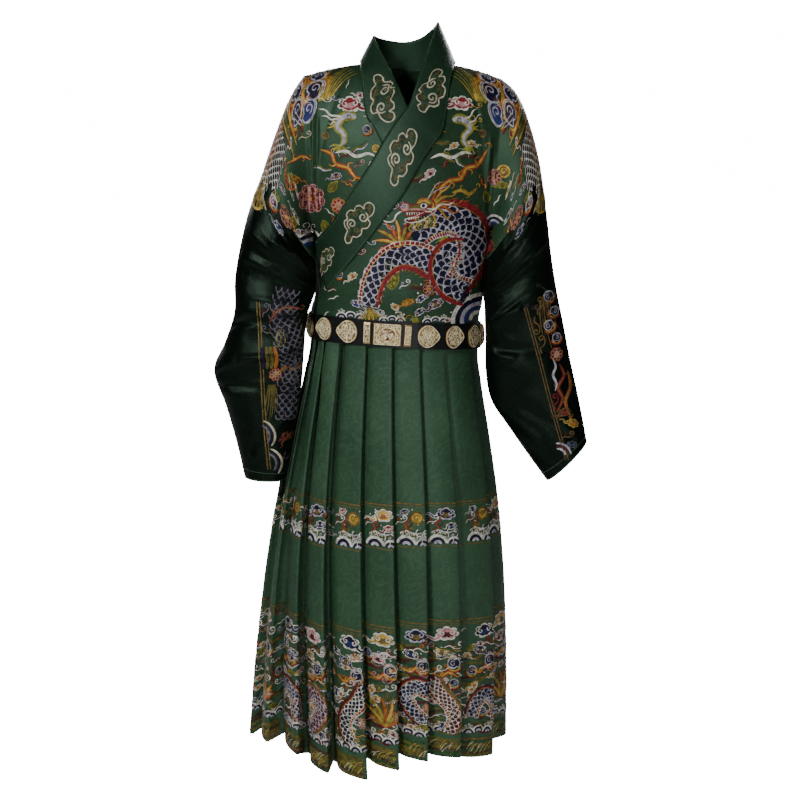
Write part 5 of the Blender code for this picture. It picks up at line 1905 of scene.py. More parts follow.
def streaks(needle, length, dyes):
    """Level wisps of mist, one above the other."""
    for k, dye in enumerate(dyes):
        y = 5.5 * (k - 1.0)
        line = ((-0.5 * length, y), (-0.2 * length, y + 4.0), (0.1 * length, y - 3.0),
                (0.5 * length, y + 3.0))
        needle.line(line, swelling(4.6), dye, 0.40 + 0.05 * k)


def whisker(needle, length=60.0, dye="white"):
    """Pale curling line."""
    line = ((0.0, 0.0), (0.25 * length, 4.0), (0.5 * length, -2.0), (0.78 * length, 3.0), (length, -1.0))
    needle.line(line, swelling(4.6), dye, 0.85)


def net(needle, width, length, base, rim):
    """Patch of scaled body that rises along +y and bends over."""
    bend = ((-0.1 * width, -0.5 * length), (0.0, 0.0), (0.16 * width, 0.5 * length))
    scaled_body(needle, bend, lambda t: width, 12.5, base, rim, rim_width=1.7, plain=True)


MOTIFS = {
    "cloud": cloud, "flower": flower, "leaf": leaf, "roundel": roundel, "flame": flame, "crest": crest,
    "bank": bank, "hair": hair, "claw": claw, "wing": fin_wing, "tail": fish_tail, "swirl": swirl,
    "streaks": streaks, "whisker": whisker, "net": net, "ribbon": ribbon, "head": beast_head, "curl": curl,
}
# Dyes of a cloud: rim, middle and heart
FIRE = ("white", "red", "pink")
DUSK = ("white", "navy", "blue")
SUN = ("white", "gold", "orange")
ROSE = ("white", "pink", "wine")
MOSS = ("lime", "olive", "dull_gold")
NIGHT = ("lilac", "wine", "dull_gold")
# Dyes of a dark flame or ribbon
EMBER = ("wine", "red", "dull_gold")
COPPER = ("wine", "orange", "dull_gold")


def flow(points, width, *dyes):
    """Row of a ribbon that runs through places on the canvas."""
    return ("ribbon", (0.0, 0.0), 0.0, 1.0, 1.0, points, width, *dyes)


def lay(needle, rows):
    """Draws rows of motifs: kind, place, degrees, size, hand and what the motif takes."""
    for kind, (x, y), angle, size, hand, *extra in rows:
        needle.frame(x, y, angle, size, hand)
        MOTIFS[kind](needle, *extra)
    needle.frame()


FRONT_MOTIFS = (
    # Clouds, flames and limbs beside the collar, inner front
    ("cloud", (-87.8, -61.5), 4.0, 1.20, -1.0, *FIRE),
    ("whisker", (-94.8, -35.3), 70.0, 0.30, 1.0),
    ("claw", (-96.5, -108.8), 0.0, 1.0, 1.0, 58.0),
    ("whisker", (-143.9, -70.3), -22.0, 0.80, 1.0),
    ("whisker", (-138.6, -82.5), -14.0, 0.60, 1.0),
    ("curl", (-168.5, -115.8), 20.0, 0.8, 1.0, "cream", "dull_gold"),
    ("roundel", (-131.6, -115.8), 0.0, 1.0, 1.0, 7.0, "dull_gold", "brown"),
    ("roundel", (-42.1, -136.8), 0.0, 1.0, 1.0, 7.0),
    ("whisker", (-114.1, -145.6), -4.0, 1.25, 1.0),
    flow(((-140.4, -140.3), (-121.1, -147.3), (-112.3, -164.8), (-91.3, -171.8), (-77.2, -187.6),
          (-56.2, -189.3)), 10.0),
    flow(((-200.1, -164.8), (-186.0, -157.8), (-173.7, -152.6), (-159.7, -157.8)), 7.0),
    ("cloud", (-49.1, -163.1), 50.0, 0.42, 1.0, *ROSE),
    ("flame", (-84.2, -203.3), 70.0, 1.0, 1.0, 22.0),
    ("flower", (-157.9, -227.8), 10.0, 1.0, 1.0, 25.0),
    ("flower", (-108.8, -238.3), 20.0, 1.0, 1.0, 14.0, "red", "pink", "gold"),
    ("leaf", (-136.9, -266.3), 200.0, 1.0, 1.0, 30.0),
    ("leaf", (-180.8, -259.3), 130.0, 1.0, 1.0, 30.0),
    ("leaf", (-126.4, -213.8), -40.0, 1.0, 1.0, 26.0),
    ("leaf", (-182.5, -199.8), 40.0, 1.0, 1.0, 24.0),
    ("flame", (-193.0, -185.8), 250.0, 1.0, 1.0, 30.0),
    ("cloud", (-112.3, -185.8), 10.0, 0.55, 1.0, *NIGHT),
    ("roundel", (-193.0, -203.3), 0.0, 1.0, 1.0, 9.0, "orange", "wine"),
    ("crest", (-165.0, -315.3), 8.0, 1.0, 1.0, 30.0, 4),
    ("flame", (-115.8, -276.8), 20.0, 1.0, 1.0, 24.0),
    ("cloud", (-175.5, -287.3), 0.0, 0.5, -1.0, *NIGHT),
    # Beside the collar, outer front
    ("cloud", (108.8, -59.8), -6.0, 1.10, 1.0, *FIRE),
    ("claw", (110.6, -112.3), 0.0, 1.0, -1.0, 54.0),
    ("whisker", (108.8, -94.8), 44.0, 0.62, 1.0),
    ("whisker", (117.6, -100.0), 40.0, 0.56, 1.0),
    ("roundel", (145.7, -112.3), 0.0, 1.0, 1.0, 7.0, "dull_gold", "brown"),
    ("whisker", (52.6, -154.3), 6.0, 1.25, 1.0),
    ("cloud", (52.6, -178.8), 30.0, 0.62, 1.0, *ROSE),
    flow(((70.2, -224.3), (72.0, -205.1), (87.8, -192.8), (107.1, -189.3), (117.6, -171.8), (136.9, -166.6),
          (154.4, -140.3)), 11.0),
    flow(((91.3, -213.8), (108.8, -210.3), (122.8, -217.3), (136.9, -206.8)), 7.0,
         ("orange", "gold", "lime")),
    ("roundel", (184.3, -178.8), 0.0, 1.0, 1.0, 12.0),
    ("cloud", (182.5, -203.3), 0.0, 0.55, 1.0, *MOSS),
    ("whisker", (168.5, -241.8), 60.0, 0.42, 1.0),
    ("flower", (168.5, -189.3), -10.0, 1.0, 1.0, 14.0),
    ("flame", (150.9, -210.3), 30.0, 1.0, 1.0, 28.0),
    ("crest", (170.2, -276.8), 30.0, 1.0, 1.0, 20.0, 4, False),
    ("leaf", (157.9, -234.8), 20.0, 1.0, 1.0, 24.0),
    # Below the coils
    ("leaf", (-14.0, -381.8), 6.0, 1.0, 1.0, 50.0),
    ("leaf", (-14.0, -378.3), 6.0, 0.62, 1.0, 50.0, "lime", "olive"),
    ("cloud", (14.0, -404.6), 10.0, 0.66, 1.0, "orange", "gold", "red"),
    ("flower", (52.6, -381.8), 0.0, 1.0, 1.0, 14.0, "wine", "red", "wine"),
    ("cloud", (63.2, -409.8), 20.0, 0.80, 1.0, *NIGHT),
    ("cloud", (91.3, -402.8), -30.0, 0.50, -1.0, *MOSS),
    ("leaf", (31.6, -448.3), 30.0, 1.0, 1.0, 22.0, "lime", "olive"),
    ("cloud", (-77.2, -409.8), -14.0, 0.60, -1.0, "lilac", "navy", "blue"),
    ("bank", (-87.8, -437.8), 0.0, 0.8, 1.0, 3),
    ("bank", (-14.0, -441.3), 0.0, 0.7, 1.0, 3),
    ("bank", (63.2, -444.8), 0.0, 0.7, 1.0, 3),
    ("crest", (136.9, -444.8), 34.0, 1.0, 1.0, 46.0, 5, False),
    ("flame", (-94.8, -336.3), 160.0, 1.0, 1.0, 26.0),
    ("cloud", (-84.2, -360.8), 30.0, 0.55, 1.0, *SUN),
    ("cloud", (84.2, -441.3), 0.0, 0.42, -1.0, *ROSE),
    ("cloud", (-35.1, -423.8), 0.0, 0.42, 1.0, *DUSK),
)
FRONT_KNOTS = (
    (36.9, -373.1), (-7.0, -423.8), (64.9, -385.3), (91.3, -427.3), (-28.1, -434.3), (31.6, -388.8),
    (126.4, -402.8), (-59.7, -423.8), (-73.7, -395.8), (7.0, -427.3),
)
FRONT_COILS = (
    # Rear, upper and near coil of the body
    ((70.2, -346.8), (35.1, -325.8), (0.0, -322.3), (-28.1, -339.8), (-47.4, -371.3), (-56.2, -413.3)),
    ((21.1, -290.8), (52.6, -266.3), (91.3, -257.6), (122.8, -275.1), (133.4, -311.8), (122.8, -350.3),
     (98.3, -381.8)),
    ((122.8, -395.8), (87.8, -378.3), (72.0, -343.3), (86.0, -315.3), (112.3, -315.3)),
)
BACK_COILS = (
    # Lower and upper coil
    ((60.0, -260.0), (84.0, -300.0), (60.0, -350.0), (0.0, -366.0), (-60.0, -350.0)),
    ((-60.0, -150.0), (-84.0, -190.0), (-70.0, -250.0), (-10.0, -272.0), (50.0, -250.0), (70.0, -200.0),
     (40.0, -160.0), (0.0, -170.0)),
)
FRONT_HEAD = (42.1, -241.8)
BACK_HEAD = (-10.0, -118.0)
# How far the small motifs keep from the coils, the head and the other motifs
COIL_CLEAR = 43.0
HEAD_CLEAR = 52.0
MOTIF_CLEAR = 19.0


def scatter(needle, rng, motifs, coils, head, tries, half_width):
    """Small dull motifs over the plain ground, clear of the coils and the large motifs."""
    taken = [(*head, HEAD_CLEAR)]
    for coil in coils:
        taken += [(x, y, COIL_CLEAR) for x, y in spline(coil, 20.0)]
    for kind, place, _, size, _, *extra in motifs:
        if kind == "ribbon":
            taken += [(x, y, MOTIF_CLEAR) for x, y in extra[0]]
        else:
            taken.append((*place, MOTIF_CLEAR + 3.0 * size))
    rows = []
    for _ in range(tries):
        x = rng.uniform(-half_width, half_width)
        y = rng.uniform(-450.0, -40.0)
        if any(math.hypot(x - a, y - b) < clear for a, b, clear in taken):
            continue
        taken.append((x, y, MOTIF_CLEAR))
        kind, size, *extra = rng.choice(FILL)
        rows.append((kind, (x, y), rng.uniform(-40.0, 40.0), 0.85 * size, rng.choice((-1.0, 1.0)), *extra))
    lay(needle, rows)


def torso_front(tree):
    """Coiled flying fish on the front of the body, with clouds, flames and waves."""
    needle = Needle(ray_canvas(tree, FACE_FRONT))
    rear, upper, near = FRONT_COILS
    scatter(needle, random.Random(3), FRONT_MOTIFS, FRONT_COILS, FRONT_HEAD, 1500, 140.0)
    scaled_body(needle, rear, tapered(54.0, 0.36), 14.5, lift=0.30)
    scaled_body(needle, upper, lambda t: 62.0 * (0.80 + 0.20 * math.sin(math.pi * t)), 16.0, lift=0.36,
                rim_width=2.5)
    scaled_body(needle, near, tapered(50.0, 0.22), 15.0, spikes=False, lift=0.62, rim_width=2.4)
    lay(needle, (("tail", (-56.2, -409.8), 190.0, 0.70, 1.0), ("wing", (0.0, -308.3), 30.0, 0.86, 1.0),
                 ("claw", (91.3, -315.3), -120.0, 0.7, 1.0), ("head", FRONT_HEAD, 6.0, 0.84, 1.0)))
    lay(needle, FRONT_MOTIFS)
    for x, y in FRONT_KNOTS:
        needle.dot(x, y, 1.7, "white", 0.95)
    needle.finish("front_embroidery")


BACK_MOTIFS = (
    ("tail", (-66.0, -352.0), 80.0, 0.8, 1.0),
    ("wing", (10.0, -210.0), -10.0, 1.0, 1.0),
    ("head", BACK_HEAD, -12.0, 1.0, 1.0),
    ("cloud", (-98.0, -88.0), 10.0, 1.2, 1.0, *FIRE),
    ("cloud", (108.0, -88.0), -10.0, 1.2, -1.0, *DUSK),
    ("cloud", (-106.0, -300.0), 0.0, 1.0, 1.0, *SUN),
    ("cloud", (112.0, -350.0), 0.0, 1.0, -1.0, *NIGHT),
    ("cloud", (14.0, -308.0), 0.0, 0.8, 1.0, *DUSK),
    ("cloud", (-112.0, -372.0), 0.0, 0.8, 1.0, *ROSE),
    ("cloud", (60.0, -402.0), 0.0, 0.8, 1.0, *FIRE),
    ("roundel", (60.0, -120.0), 0.0, 1.0, 1.0, 8.0),
    ("roundel", (-112.0, -222.0), 0.0, 1.0, 1.0, 8.0),
    ("roundel", (118.0, -238.0), 0.0, 1.0, 1.0, 8.0),
    ("flower", (-112.0, -152.0), 0.0, 1.0, 1.0, 20.0),
    ("flower", (118.0, -158.0), 0.0, 1.0, 1.0, 20.0),
    ("flower", (-30.0, -402.0), 0.0, 1.0, 1.0, 15.0),
    ("flame", (-104.0, -252.0), 20.0, 1.0, 1.0, 40.0),
    ("flame", (108.0, -296.0), -20.0, 1.0, 1.0, 40.0),
    ("flame", (52.0, -92.0), 40.0, 1.0, 1.0, 34.0),
    ("whisker", (-60.0, -58.0), 6.0, 1.2, 1.0),
    flow(((40.0, -66.0), (60.0, -76.0), (84.0, -60.0), (104.0, -66.0)), 11.0),
    ("bank", (-92.0, -430.0), 0.0, 1.2, 1.0, 3),
    ("bank", (-14.0, -434.0), 0.0, 1.2, 1.0, 3),
    ("bank", (66.0, -432.0), 0.0, 1.2, 1.0, 3),
)


def torso_back(tree):
    """Coiled flying fish on the back, drawn the other way round."""
    needle = Needle(ray_canvas(tree, FACE_BACK), 0.9)
    lower, upper = BACK_COILS
    scatter(needle, random.Random(5), BACK_MOTIFS, BACK_COILS, BACK_HEAD, 130, 128.0)
    scaled_body(needle, lower, tapered(50.0, 0.5), 12.0, side=-1.0)
    scaled_body(needle, upper, lambda t: 54.0 * (0.7 + 0.3 * math.sin(math.pi * t)), 12.5, lift=0.6)
    lay(needle, BACK_MOTIFS)
    needle.finish("back_embroidery")


# Over one shoulder and down the upper arm, forward half; the rear half is its mirror image
ARM_MOTIFS = (
    ("cloud", (16.0, 50.0), 60.0, 0.70, 1.0, *FIRE),
    ("swirl", (38.0, 28.0), 20.0, 1.0, 1.0, 17.0),
    ("swirl", (72.0, 22.0), -10.0, 1.0, 1.0, 22.0),
    ("swirl", (104.0, 8.0), -30.0, 1.0, 1.0, 19.0, "blue"),
    ("swirl", (44.0, -22.0), 30.0, 1.0, 1.0, 19.0),
    ("swirl", (82.0, -26.0), 0.0, 1.0, 1.0, 21.0),
    ("swirl", (14.0, -8.0), 60.0, 1.0, 1.0, 16.0, "blue"),
    flow(((30.0, 52.0), (52.0, 44.0), (66.0, 52.0), (88.0, 46.0)), 12.0),
    flow(((28.0, 6.0), (50.0, 2.0), (70.0, -6.0), (96.0, -12.0)), 12.0),
    flow(((20.0, -34.0), (48.0, -48.0), (76.0, -50.0), (108.0, -40.0)), 11.0),
    ("roundel", (56.0, 6.0), 0.0, 1.0, 1.0, 6.0, "white", "navy"),
    ("hair", (104.0, 44.0), 74.0, 1.2, 1.0, 72.0, 9, 4.6, 14.0),
    ("hair", (112.0, -12.0), 130.0, 1.0, 1.0, 50.0, 5, 4.0, 8.0, ("brown", "lilac")),
    ("net", (24.0, -134.0), 0.0, 1.0, 1.0, 40.0, 104.0, "red", "cream"),
    ("net", (64.0, -136.0), 0.0, 1.0, 1.0, 38.0, 100.0, "ink", "white"),
    ("net", (32.0, -192.0), 0.0, 1.0, 1.0, 44.0, 34.0, "dull_gold", "white"),
    flow(((46.0, -86.0), (42.0, -106.0), (48.0, -128.0), (42.0, -150.0), (48.0, -176.0)), 6.0),
    ("curl", (96.0, -70.0), 60.0, 1.0, 1.0, "white", "red"),
    ("curl", (126.0, -118.0), -40.0, 1.0, 1.0, "lilac", "gold"),
    ("tail", (34.0, -190.0), 188.0, 1.1, 1.0, 48.0),
    ("flame", (96.0, -96.0), 200.0, 1.0, 1.0, 34.0),
    ("roundel", (106.0, -124.0), 0.0, 1.0, 1.0, 9.0, "orange", "wine"),
    ("cloud", (100.0, -150.0), 10.0, 0.6, 1.0, *NIGHT),
    ("swirl", (84.0, -196.0), 10.0, 1.0, 1.0, 11.0, "wine"),
    ("flower", (118.0, -186.0), 0.0, 1.0, 1.0, 17.0),
    ("leaf", (96.0, -176.0), 120.0, 1.0, 1.0, 26.0),
    ("cloud", (112.0, -222.0), -8.0, 0.7, 1.0, "lilac", "navy", "blue"),
    ("cloud", (146.0, -150.0), -8.0, 0.7, 1.0, *DUSK),
    ("flame", (140.0, -190.0), 20.0, 1.0, 1.0, 34.0),
    ("cloud", (150.0, -90.0), -8.0, 0.7, 1.0, *SUN),
)


def arm_top(side):
    """Mane, stripes, scales and golden tail over a shoulder and down the upper arm."""
    needle = Needle(Arm(side), 0.95)
    for hand in (1.0, -1.0):
        for kind, (x, y), angle, size, flip, *extra in ARM_MOTIFS:
            if kind == "ribbon" and hand < 0.0:
                extra[0] = tuple((-a, b) for a, b in extra[0])
            needle.frame(hand * x, y, hand * angle, size, flip if kind == "ribbon" else hand * flip)
            MOTIFS[kind](needle, *extra)
        needle.frame()
        for k, dye in enumerate(("gold", "leaf", "dull_gold", "olive", "gold", "brown")):
            y = -58.0 - 5.2 * k
            line = ((0.0, y), (hand * 40.0, y + 1.0), (hand * 80.0, y + 6.0), (hand * 124.0, y + 20.0))
            needle.line(line, 3.0, dye, 0.5, (0.02, 0.2))
        for k in range(5):
            line = ((hand * (12.0 + 8.0 * k), -206.0), (hand * (30.0 + 8.0 * k), -238.0))
            needle.line(line, 2.6, ("cream", "navy")[k % 2], 1.05)
        needle.line(arc(hand * 36.0, -214.0, 30.0, 180.0, 360.0), 4.6, "gold", 0.95)
    needle.finish("shoulder_embroidery_" + ("left" if side > 0 else "right"))


def band_edge(needle, points, *threads):
    """Twin lines along the edge of a sleeve band."""
    for shift in (0.0, 5.0):
        for width, dye, lift in threads:
            needle.line([(x + shift, y) for x, y in points], width, dye, lift, (0.01, 0.01))


RIGHT_BAND_MOTIFS = (
    flow(((-234.0, -445.8), (-221.4, -426.4), (-201.6, -417.6), (-176.4, -422.9)), 8.0, EMBER),
    ("leaf", (-212.4, -488.2), 10.0, 1.0, 1.0, 30.0),
    ("leaf", (-210.6, -488.2), 10.0, 0.6, 1.0, 30.0, "dull_gold", "brown"),
    ("curl", (-241.2, -421.1), 60.0, 0.8, 1.0, "grey", "wine"),
    ("curl", (-237.6, -459.9), -30.0, 0.8, -1.0, "grey", "brown"),
    ("flower", (-225.0, -541.1), 0.0, 1.0, 1.0, 12.0, "wine", "grey", "red"),
    flow(((-226.8, -548.2), (-208.8, -530.5), (-190.8, -534.1), (-172.8, -523.5)), 8.0, COPPER),
    ("hair", (-232.2, -558.8), 184.0, 1.0, 1.0, 68.0, 6, 4.4, 8.0, ("dull_gold", "olive")),
    ("flame", (-208.8, -650.6), 170.0, 1.0, 1.0, 30.0, EMBER),
    ("cloud", (-198.0, -657.6), 10.0, 0.6, 1.0, "dull_gold", "red", "wine"),
    ("curl", (-198.0, -696.5), 10.0, 0.8, 1.0, "grey", "wine"),
)


def sleeve_band_right(tree):
    """Band down the inner side of the wearer's right sleeve."""
    needle = Needle(ray_canvas(tree, FACE_FRONT))
    band_edge(needle, ((-255.6, -407.0), (-252.0, -512.9), (-248.4, -618.8), (-241.2, -717.6)),
              (2.0, "dull_gold", 0.45))
    scaled_body(needle, ((-199.8, -382.3), (-208.8, -428.2), (-199.8, -477.6), (-187.2, -523.5),
                         (-198.0, -572.9), (-205.2, -625.9)),
                lambda t: 34.0 + 14.0 * math.sin(math.pi * t), 12.0, "ink", "grey", lift=0.2, rim_width=2.0,
                plain=True)
    lay(needle, RIGHT_BAND_MOTIFS)
    x, y = (-246.6, -488.2)
    for k, dye in enumerate(("navy", "dull_gold", "olive", "orange")):
        line = ((x + 7.0 * k, y), (x + 8.0 * k + 1.0, y - 22.0), (x + 7.0 * k, y - 42.0))
        needle.line(line, 6.4, dye, 0.6)
    for x, y in ((-257.4, -654.1), (-246.6, -707.0)):
        for k, dye in enumerate(("cream", "navy", "grey")):
            needle.line(arc(x, y, 30.0 - 4.8 * k, 70.0, -40.0), 4.0, dye, 0.6 + 0.08 * k)
    needle.finish("sleeve_band_right")


LEFT_BAND_MOTIFS = (
    ("hair", (257.4, -403.5), 186.0, 1.0, 1.0, 92.0, 6, 5.4, -10.0, ("brown", "dull_gold")),
    ("curl", (248.4, -414.1), 70.0, 1.0, 1.0, "dull_gold", "brown"),
    ("curl", (243.0, -452.9), 110.0, 1.0, -1.0, "dull_gold", "wine"),
    ("curl", (253.8, -484.7), 80.0, 1.0, 1.0, "dull_gold", "brown"),
    ("swirl", (266.4, -399.9), 30.0, 0.50, 1.0),
    ("swirl", (277.2, -428.2), -20.0, 0.46, -1.0),
    ("swirl", (268.2, -452.9), 40.0, 0.50, 1.0),
    ("swirl", (282.6, -475.8), 10.0, 0.44, -1.0),
    ("flower", (282.6, -505.8), 0.0, 1.0, 1.0, 13.0, "wine", "pink", "red"),
    ("whisker", (275.4, -512.9), -84.0, 1.0, 1.0, 60.0, "lilac"),
    flow(((288.0, -523.5), (297.0, -544.7), (286.2, -565.8), (295.2, -587.0), (284.4, -611.7)), 8.0, EMBER),
    flow(((304.2, -537.6), (309.6, -565.8), (300.6, -594.1), (311.4, -622.3)), 8.0, COPPER),
    ("curl", (280.8, -590.6), 80.0, 0.9, 1.0, "red", "wine"),
    ("cloud", (298.8, -611.7), 10.0, 0.66, 1.0, "dull_gold", "wine", "red"),
    ("cloud", (315.0, -632.9), -30.0, 0.66, 1.0, "gold", "dull_gold", "orange"),
    ("curl", (306.0, -654.1), 20.0, 0.8, 1.0, "dull_gold", "wine"),
    ("cloud", (313.2, -671.8), 0.0, 0.55, 1.0, "grey", "navy", "blue"),
)


def sleeve_band_left(tree):
    """Band down the outer side of the wearer's left sleeve."""
    needle = Needle(ray_canvas(tree, FACE_FRONT))
    band_edge(needle, ((221.4, -417.6), (244.8, -498.8), (271.8, -597.6), (302.4, -700.0)),
              (2.6, "brown", 0.50), (1.0, "dull_gold", 0.75))
    for drop in (0.0, 1.75 * 2.2):
        for ends in (((219.6, -412.3), (244.8, -417.6)), ((243.0, -375.2), (262.8, -389.3))):
            needle.line([(x, y - drop) for x, y in ends], 1.8, "grey", 0.8)
    lay(needle, LEFT_BAND_MOTIFS)
    for k, dye in enumerate(("lilac", "wine", "lilac")):
        needle.line(arc(288.0, -692.9, 24.0 - 5.0 * k, 100.0, 10.0), 3.6, dye, 0.6 + 0.08 * k)
    needle.finish("sleeve_band_left")


CLOUD_OUTLINE = (
    # Upright lobed cloud, 92 mm high and 50 mm wide
    (-2.0, 46.0), (7.0, 42.0), (9.0, 33.0), (5.0, 28.0), (15.0, 27.0), (20.0, 19.0), (17.0, 12.0),
    (24.0, 6.0), (24.0, -5.0), (17.0, -10.0), (18.0, -19.0), (11.0, -25.0), (2.0, -27.0), (-1.0, -35.0),
    (-6.0, -44.0), (-15.0, -45.0), (-18.0, -37.0), (-14.0, -28.0), (-21.0, -22.0), (-23.0, -11.0),
    (-18.0, -3.0), (-24.0, 5.0), (-22.0, 16.0), (-13.0, 20.0), (-14.0, 32.0), (-10.0, 42.0),
)


def collar_cloud(needle):
    """Upright cloud in a pale outline, with curls and fine brown echoes."""
    needle.fill(CLOUD_OUTLINE, "shadow_green", 0.15)
    needle.ring(CLOUD_OUTLINE, 2.5, "cream", 0.35)
    for inset, dye in ((0.84, "brown"), (0.74, "dull_gold")):
        needle.ring(grown(CLOUD_OUTLINE, inset), 1.0, dye, 0.28)
    for x, y, radius, start, hand in ((-4.0, 15.0, 10.5, 70.0, 1.0), (4.0, -11.0, 10.5, 250.0, 1.0)):
        needle.wire(spiral(x, y, radius, 1.5, start, hand), 3.0, "cream", 0.45)
    for x, y, radius, hand in ((11.0, 9.0, 6.0, -1.0), (-11.0, -12.0, 6.0, -1.0),
                               (-12.0, -34.0, 4.5, 1.0), (0.0, 36.0, 4.5, 1.0)):
        needle.wire(spiral(x, y, radius, 1.4, 30.0, hand), 1.2, "dull_gold", 0.40)


COLLAR_CLOUDS = (
    # y along the strip in mm, size, hand, degrees
    (26.0, 0.66, 1.0, 0.0),
    (128.0, 0.92, 1.0, 4.0),
    (268.0, 1.05, 1.0, -4.0),
    (398.0, 1.00, -1.0, 6.0),
    (560.0, 0.86, 1.0, 0.0),
    (680.0, 0.80, -1.0, 0.0),
    (866.0, 1.00, 1.0, 4.0),
    (990.0, 0.90, -1.0, 0.0),
)


def collar_clouds(rows):
    """Pale clouds along the collar, and a stitched line near both edges."""
    strip = Strip(rows)
    needle = Needle(strip)
    for y, size, hand, angle in COLLAR_CLOUDS:
        width = strip.width(y * MM) / MM
        needle.frame(0.5 * width, y, angle, size, hand)
        collar_cloud(needle)
    needle.frame()
    total = strip.along[-1] / MM
    steps = 170
    for share in (0.045, 0.955):
        line = []
        for k in range(steps + 1):
            y = total * k / steps
            line.append((share * strip.width(y * MM) / MM, y))
        needle.line(line, 0.8, "light_green", 0.10, (0.0, 0.0), raw=True, dome=0.12)
    needle.finish("collar_clouds")


KNEE_TOP = -776.0
KNEE_FOOT = -855.0
HEM_TOP = -996.0
HEM_FOOT = -1259.0
FACE_LEFT = -66.0
# A face that reaches further left than this has room for a column of fill motifs
WIDE_FACE = -70.0
# Pleats at the side whose turned in walls are seen from the front
SIDE_PLEATS = (18, 0, 1, 2, 3)


def face_reach(i):
    """How far the open face of a pleat reaches to the left, in mm."""
    return -1000.0 * (pleat_frame(i, 0.8)[2] - HEM_UNDERLAY)


def band_line(needle, i, z, width, dye):
    """Straight woven line across one pleat."""
    needle.frame()
    left = face_reach(i)
    line = [(left, z), (0.5 * left, z), (-3.0, z), (1.0, z), (7.0, z)]
    if i in SIDE_PLEATS:
        line += [(14.0, z), (22.0, z), (32.0, z)]
    needle.line(line, width, dye, 0.30, (0.0, 0.0), dome=0.1)


def side_fill(i, rng, top, foot):
    """Motifs on the turned in wall of a side pleat, and on the rest of a wide face."""
    rows = []
    left = face_reach(i)
    columns = [left + 8.0] if left < WIDE_FACE else []
    if i in SIDE_PLEATS:
        columns += [12.0, 28.0]
    z = top
    while z > foot:
        for column in columns:
            kind, size, *extra = rng.choice(FILL)
            place = (column + rng.uniform(-3.0, 3.0), z + rng.uniform(-6.0, 6.0))
            rows.append((kind, place, rng.uniform(-25.0, 25.0), size * rng.uniform(0.8, 1.0),
                         rng.choice((-1.0, 1.0)), *extra))
        z -= 22.0
    return rows


def knee_band(i, rng, detail):
    """Narrow woven band at knee height on one pleat."""
    needle = Needle(Pleat(i), detail)
    for z, width in ((KNEE_TOP, 2.6), (KNEE_TOP - 5.0, 1.2), (KNEE_FOOT, 1.8)):
        band_line(needle, i, z, width, "dull_gold")
    x = -24.0 + rng.uniform(-5.0, 5.0)
    palettes = (DUSK, SUN, FIRE, ("lilac", "navy", "dull_gold"))
    rows = [
        ("streaks", (x, KNEE_TOP - 52.0), 0.0, 0.66, 1.0, 66.0, ("olive", "lilac", "leaf")),
        ("flame", (x - 18.0, KNEE_TOP - 50.0), -20.0, 1.0, 1.0, 34.0, ("wine", "red", "orange")),
        ("curl", (x - 20.0, KNEE_TOP - 30.0), 30.0, 0.8, 1.0),
        ("curl", (x + 20.0, KNEE_TOP - 58.0), 60.0, 0.8, 1.0, "white", "lilac"),
        ("crest", (x - 12.0, KNEE_FOOT + 3.0), 0.0, 1.0, 1.0, 19.0, 3),
        ("crest", (x + 18.0, KNEE_FOOT + 3.0), 0.0, 1.0, 1.0, 15.0, 3, i % 2 == 0),
        ("curl", (x + 4.0, KNEE_FOOT + 22.0), 80.0, 0.7, -1.0, "white", "white"),
    ]
    if i % 2:
        lean = rng.uniform(-8.0, 8.0)
        rows.append(("cloud", (x + 5.0, KNEE_TOP - 19.0), lean, 1.0, 1.0, *palettes[i % 4]))
        rows.append(("cloud", (x + 14.0, KNEE_TOP - 42.0), 10.0, 0.60, 1.0, *palettes[(i + 1) % 4]))
    else:
        rows.append(("roundel", (x + 8.0, KNEE_TOP - 25.0), 0.0, 1.0, 1.0, 13.0, "dull_gold", "gold"))
        rows.append(("cloud", (x - 14.0, KNEE_TOP - 15.0), 20.0, 0.5, 1.0, *palettes[(i // 2) % 4]))
        rows.append(("roundel", (x - 8.0, KNEE_TOP - 46.0), 0.0, 1.0, 1.0, 9.0, "olive", "dull_gold"))
    rows += side_fill(i, rng, KNEE_TOP - 18.0, KNEE_FOOT + 12.0)
    lay(needle, rows)
    for k in range(5):
        needle.dot(x - 20.0 + 10.0 * k, KNEE_TOP - 10.0 - 9.0 * ((k * 7 + i) % 4), 1.3, "white", 0.6)
    return needle


FILL = (
    # kind, size, and what the motif takes, drawn at random between the large motifs
    ("cloud", 0.66, *DUSK), ("cloud", 0.58, *SUN), ("cloud", 0.54, *ROSE), ("cloud", 0.58, *MOSS),
    ("curl", 0.80), ("curl", 0.86, "white", "lilac"), ("curl", 0.80, "pink", "wine"),
    ("curl", 0.84, "white", "orange"), ("curl", 0.80, "lilac", "navy"), ("curl", 0.80, "gold", "brown"),
    ("streaks", 0.66, 60.0, ("olive", "dull_gold", "leaf")),
    ("streaks", 0.66, 60.0, ("lilac", "olive", "leaf")),
    ("streaks", 0.66, 60.0, ("wine", "brown", "olive")),
    ("flame", 1.0, 26.0, ("wine", "red", "orange")), ("swirl", 0.44), ("whisker", 0.46),
)


HEM_BODIES = (
    # How the scaled body runs on a pleat: across and up from its middle
    ((-26.0, 44.0), (2.0, 50.0), (20.0, 28.0), (8.0, 2.0), (-14.0, -18.0)),
    ((-30.0, 74.0), (-12.0, 44.0), (8.0, 22.0), (16.0, -6.0), (4.0, -32.0)),
    ((-34.0, -24.0), (-24.0, 16.0), (0.0, 34.0), (20.0, 20.0), (30.0, -8.0)),
)


# Dyes that close the ground of the hem border
GROUND_DYES = ("olive", "leaf", "brown", "dull_gold", "shadow_green", "wine")
WATER_DYES = ("olive", "leaf", "brown", "dull_gold", "olive")
SPRAY_DYES = ("gold", "dull_gold", "lime", "cream")


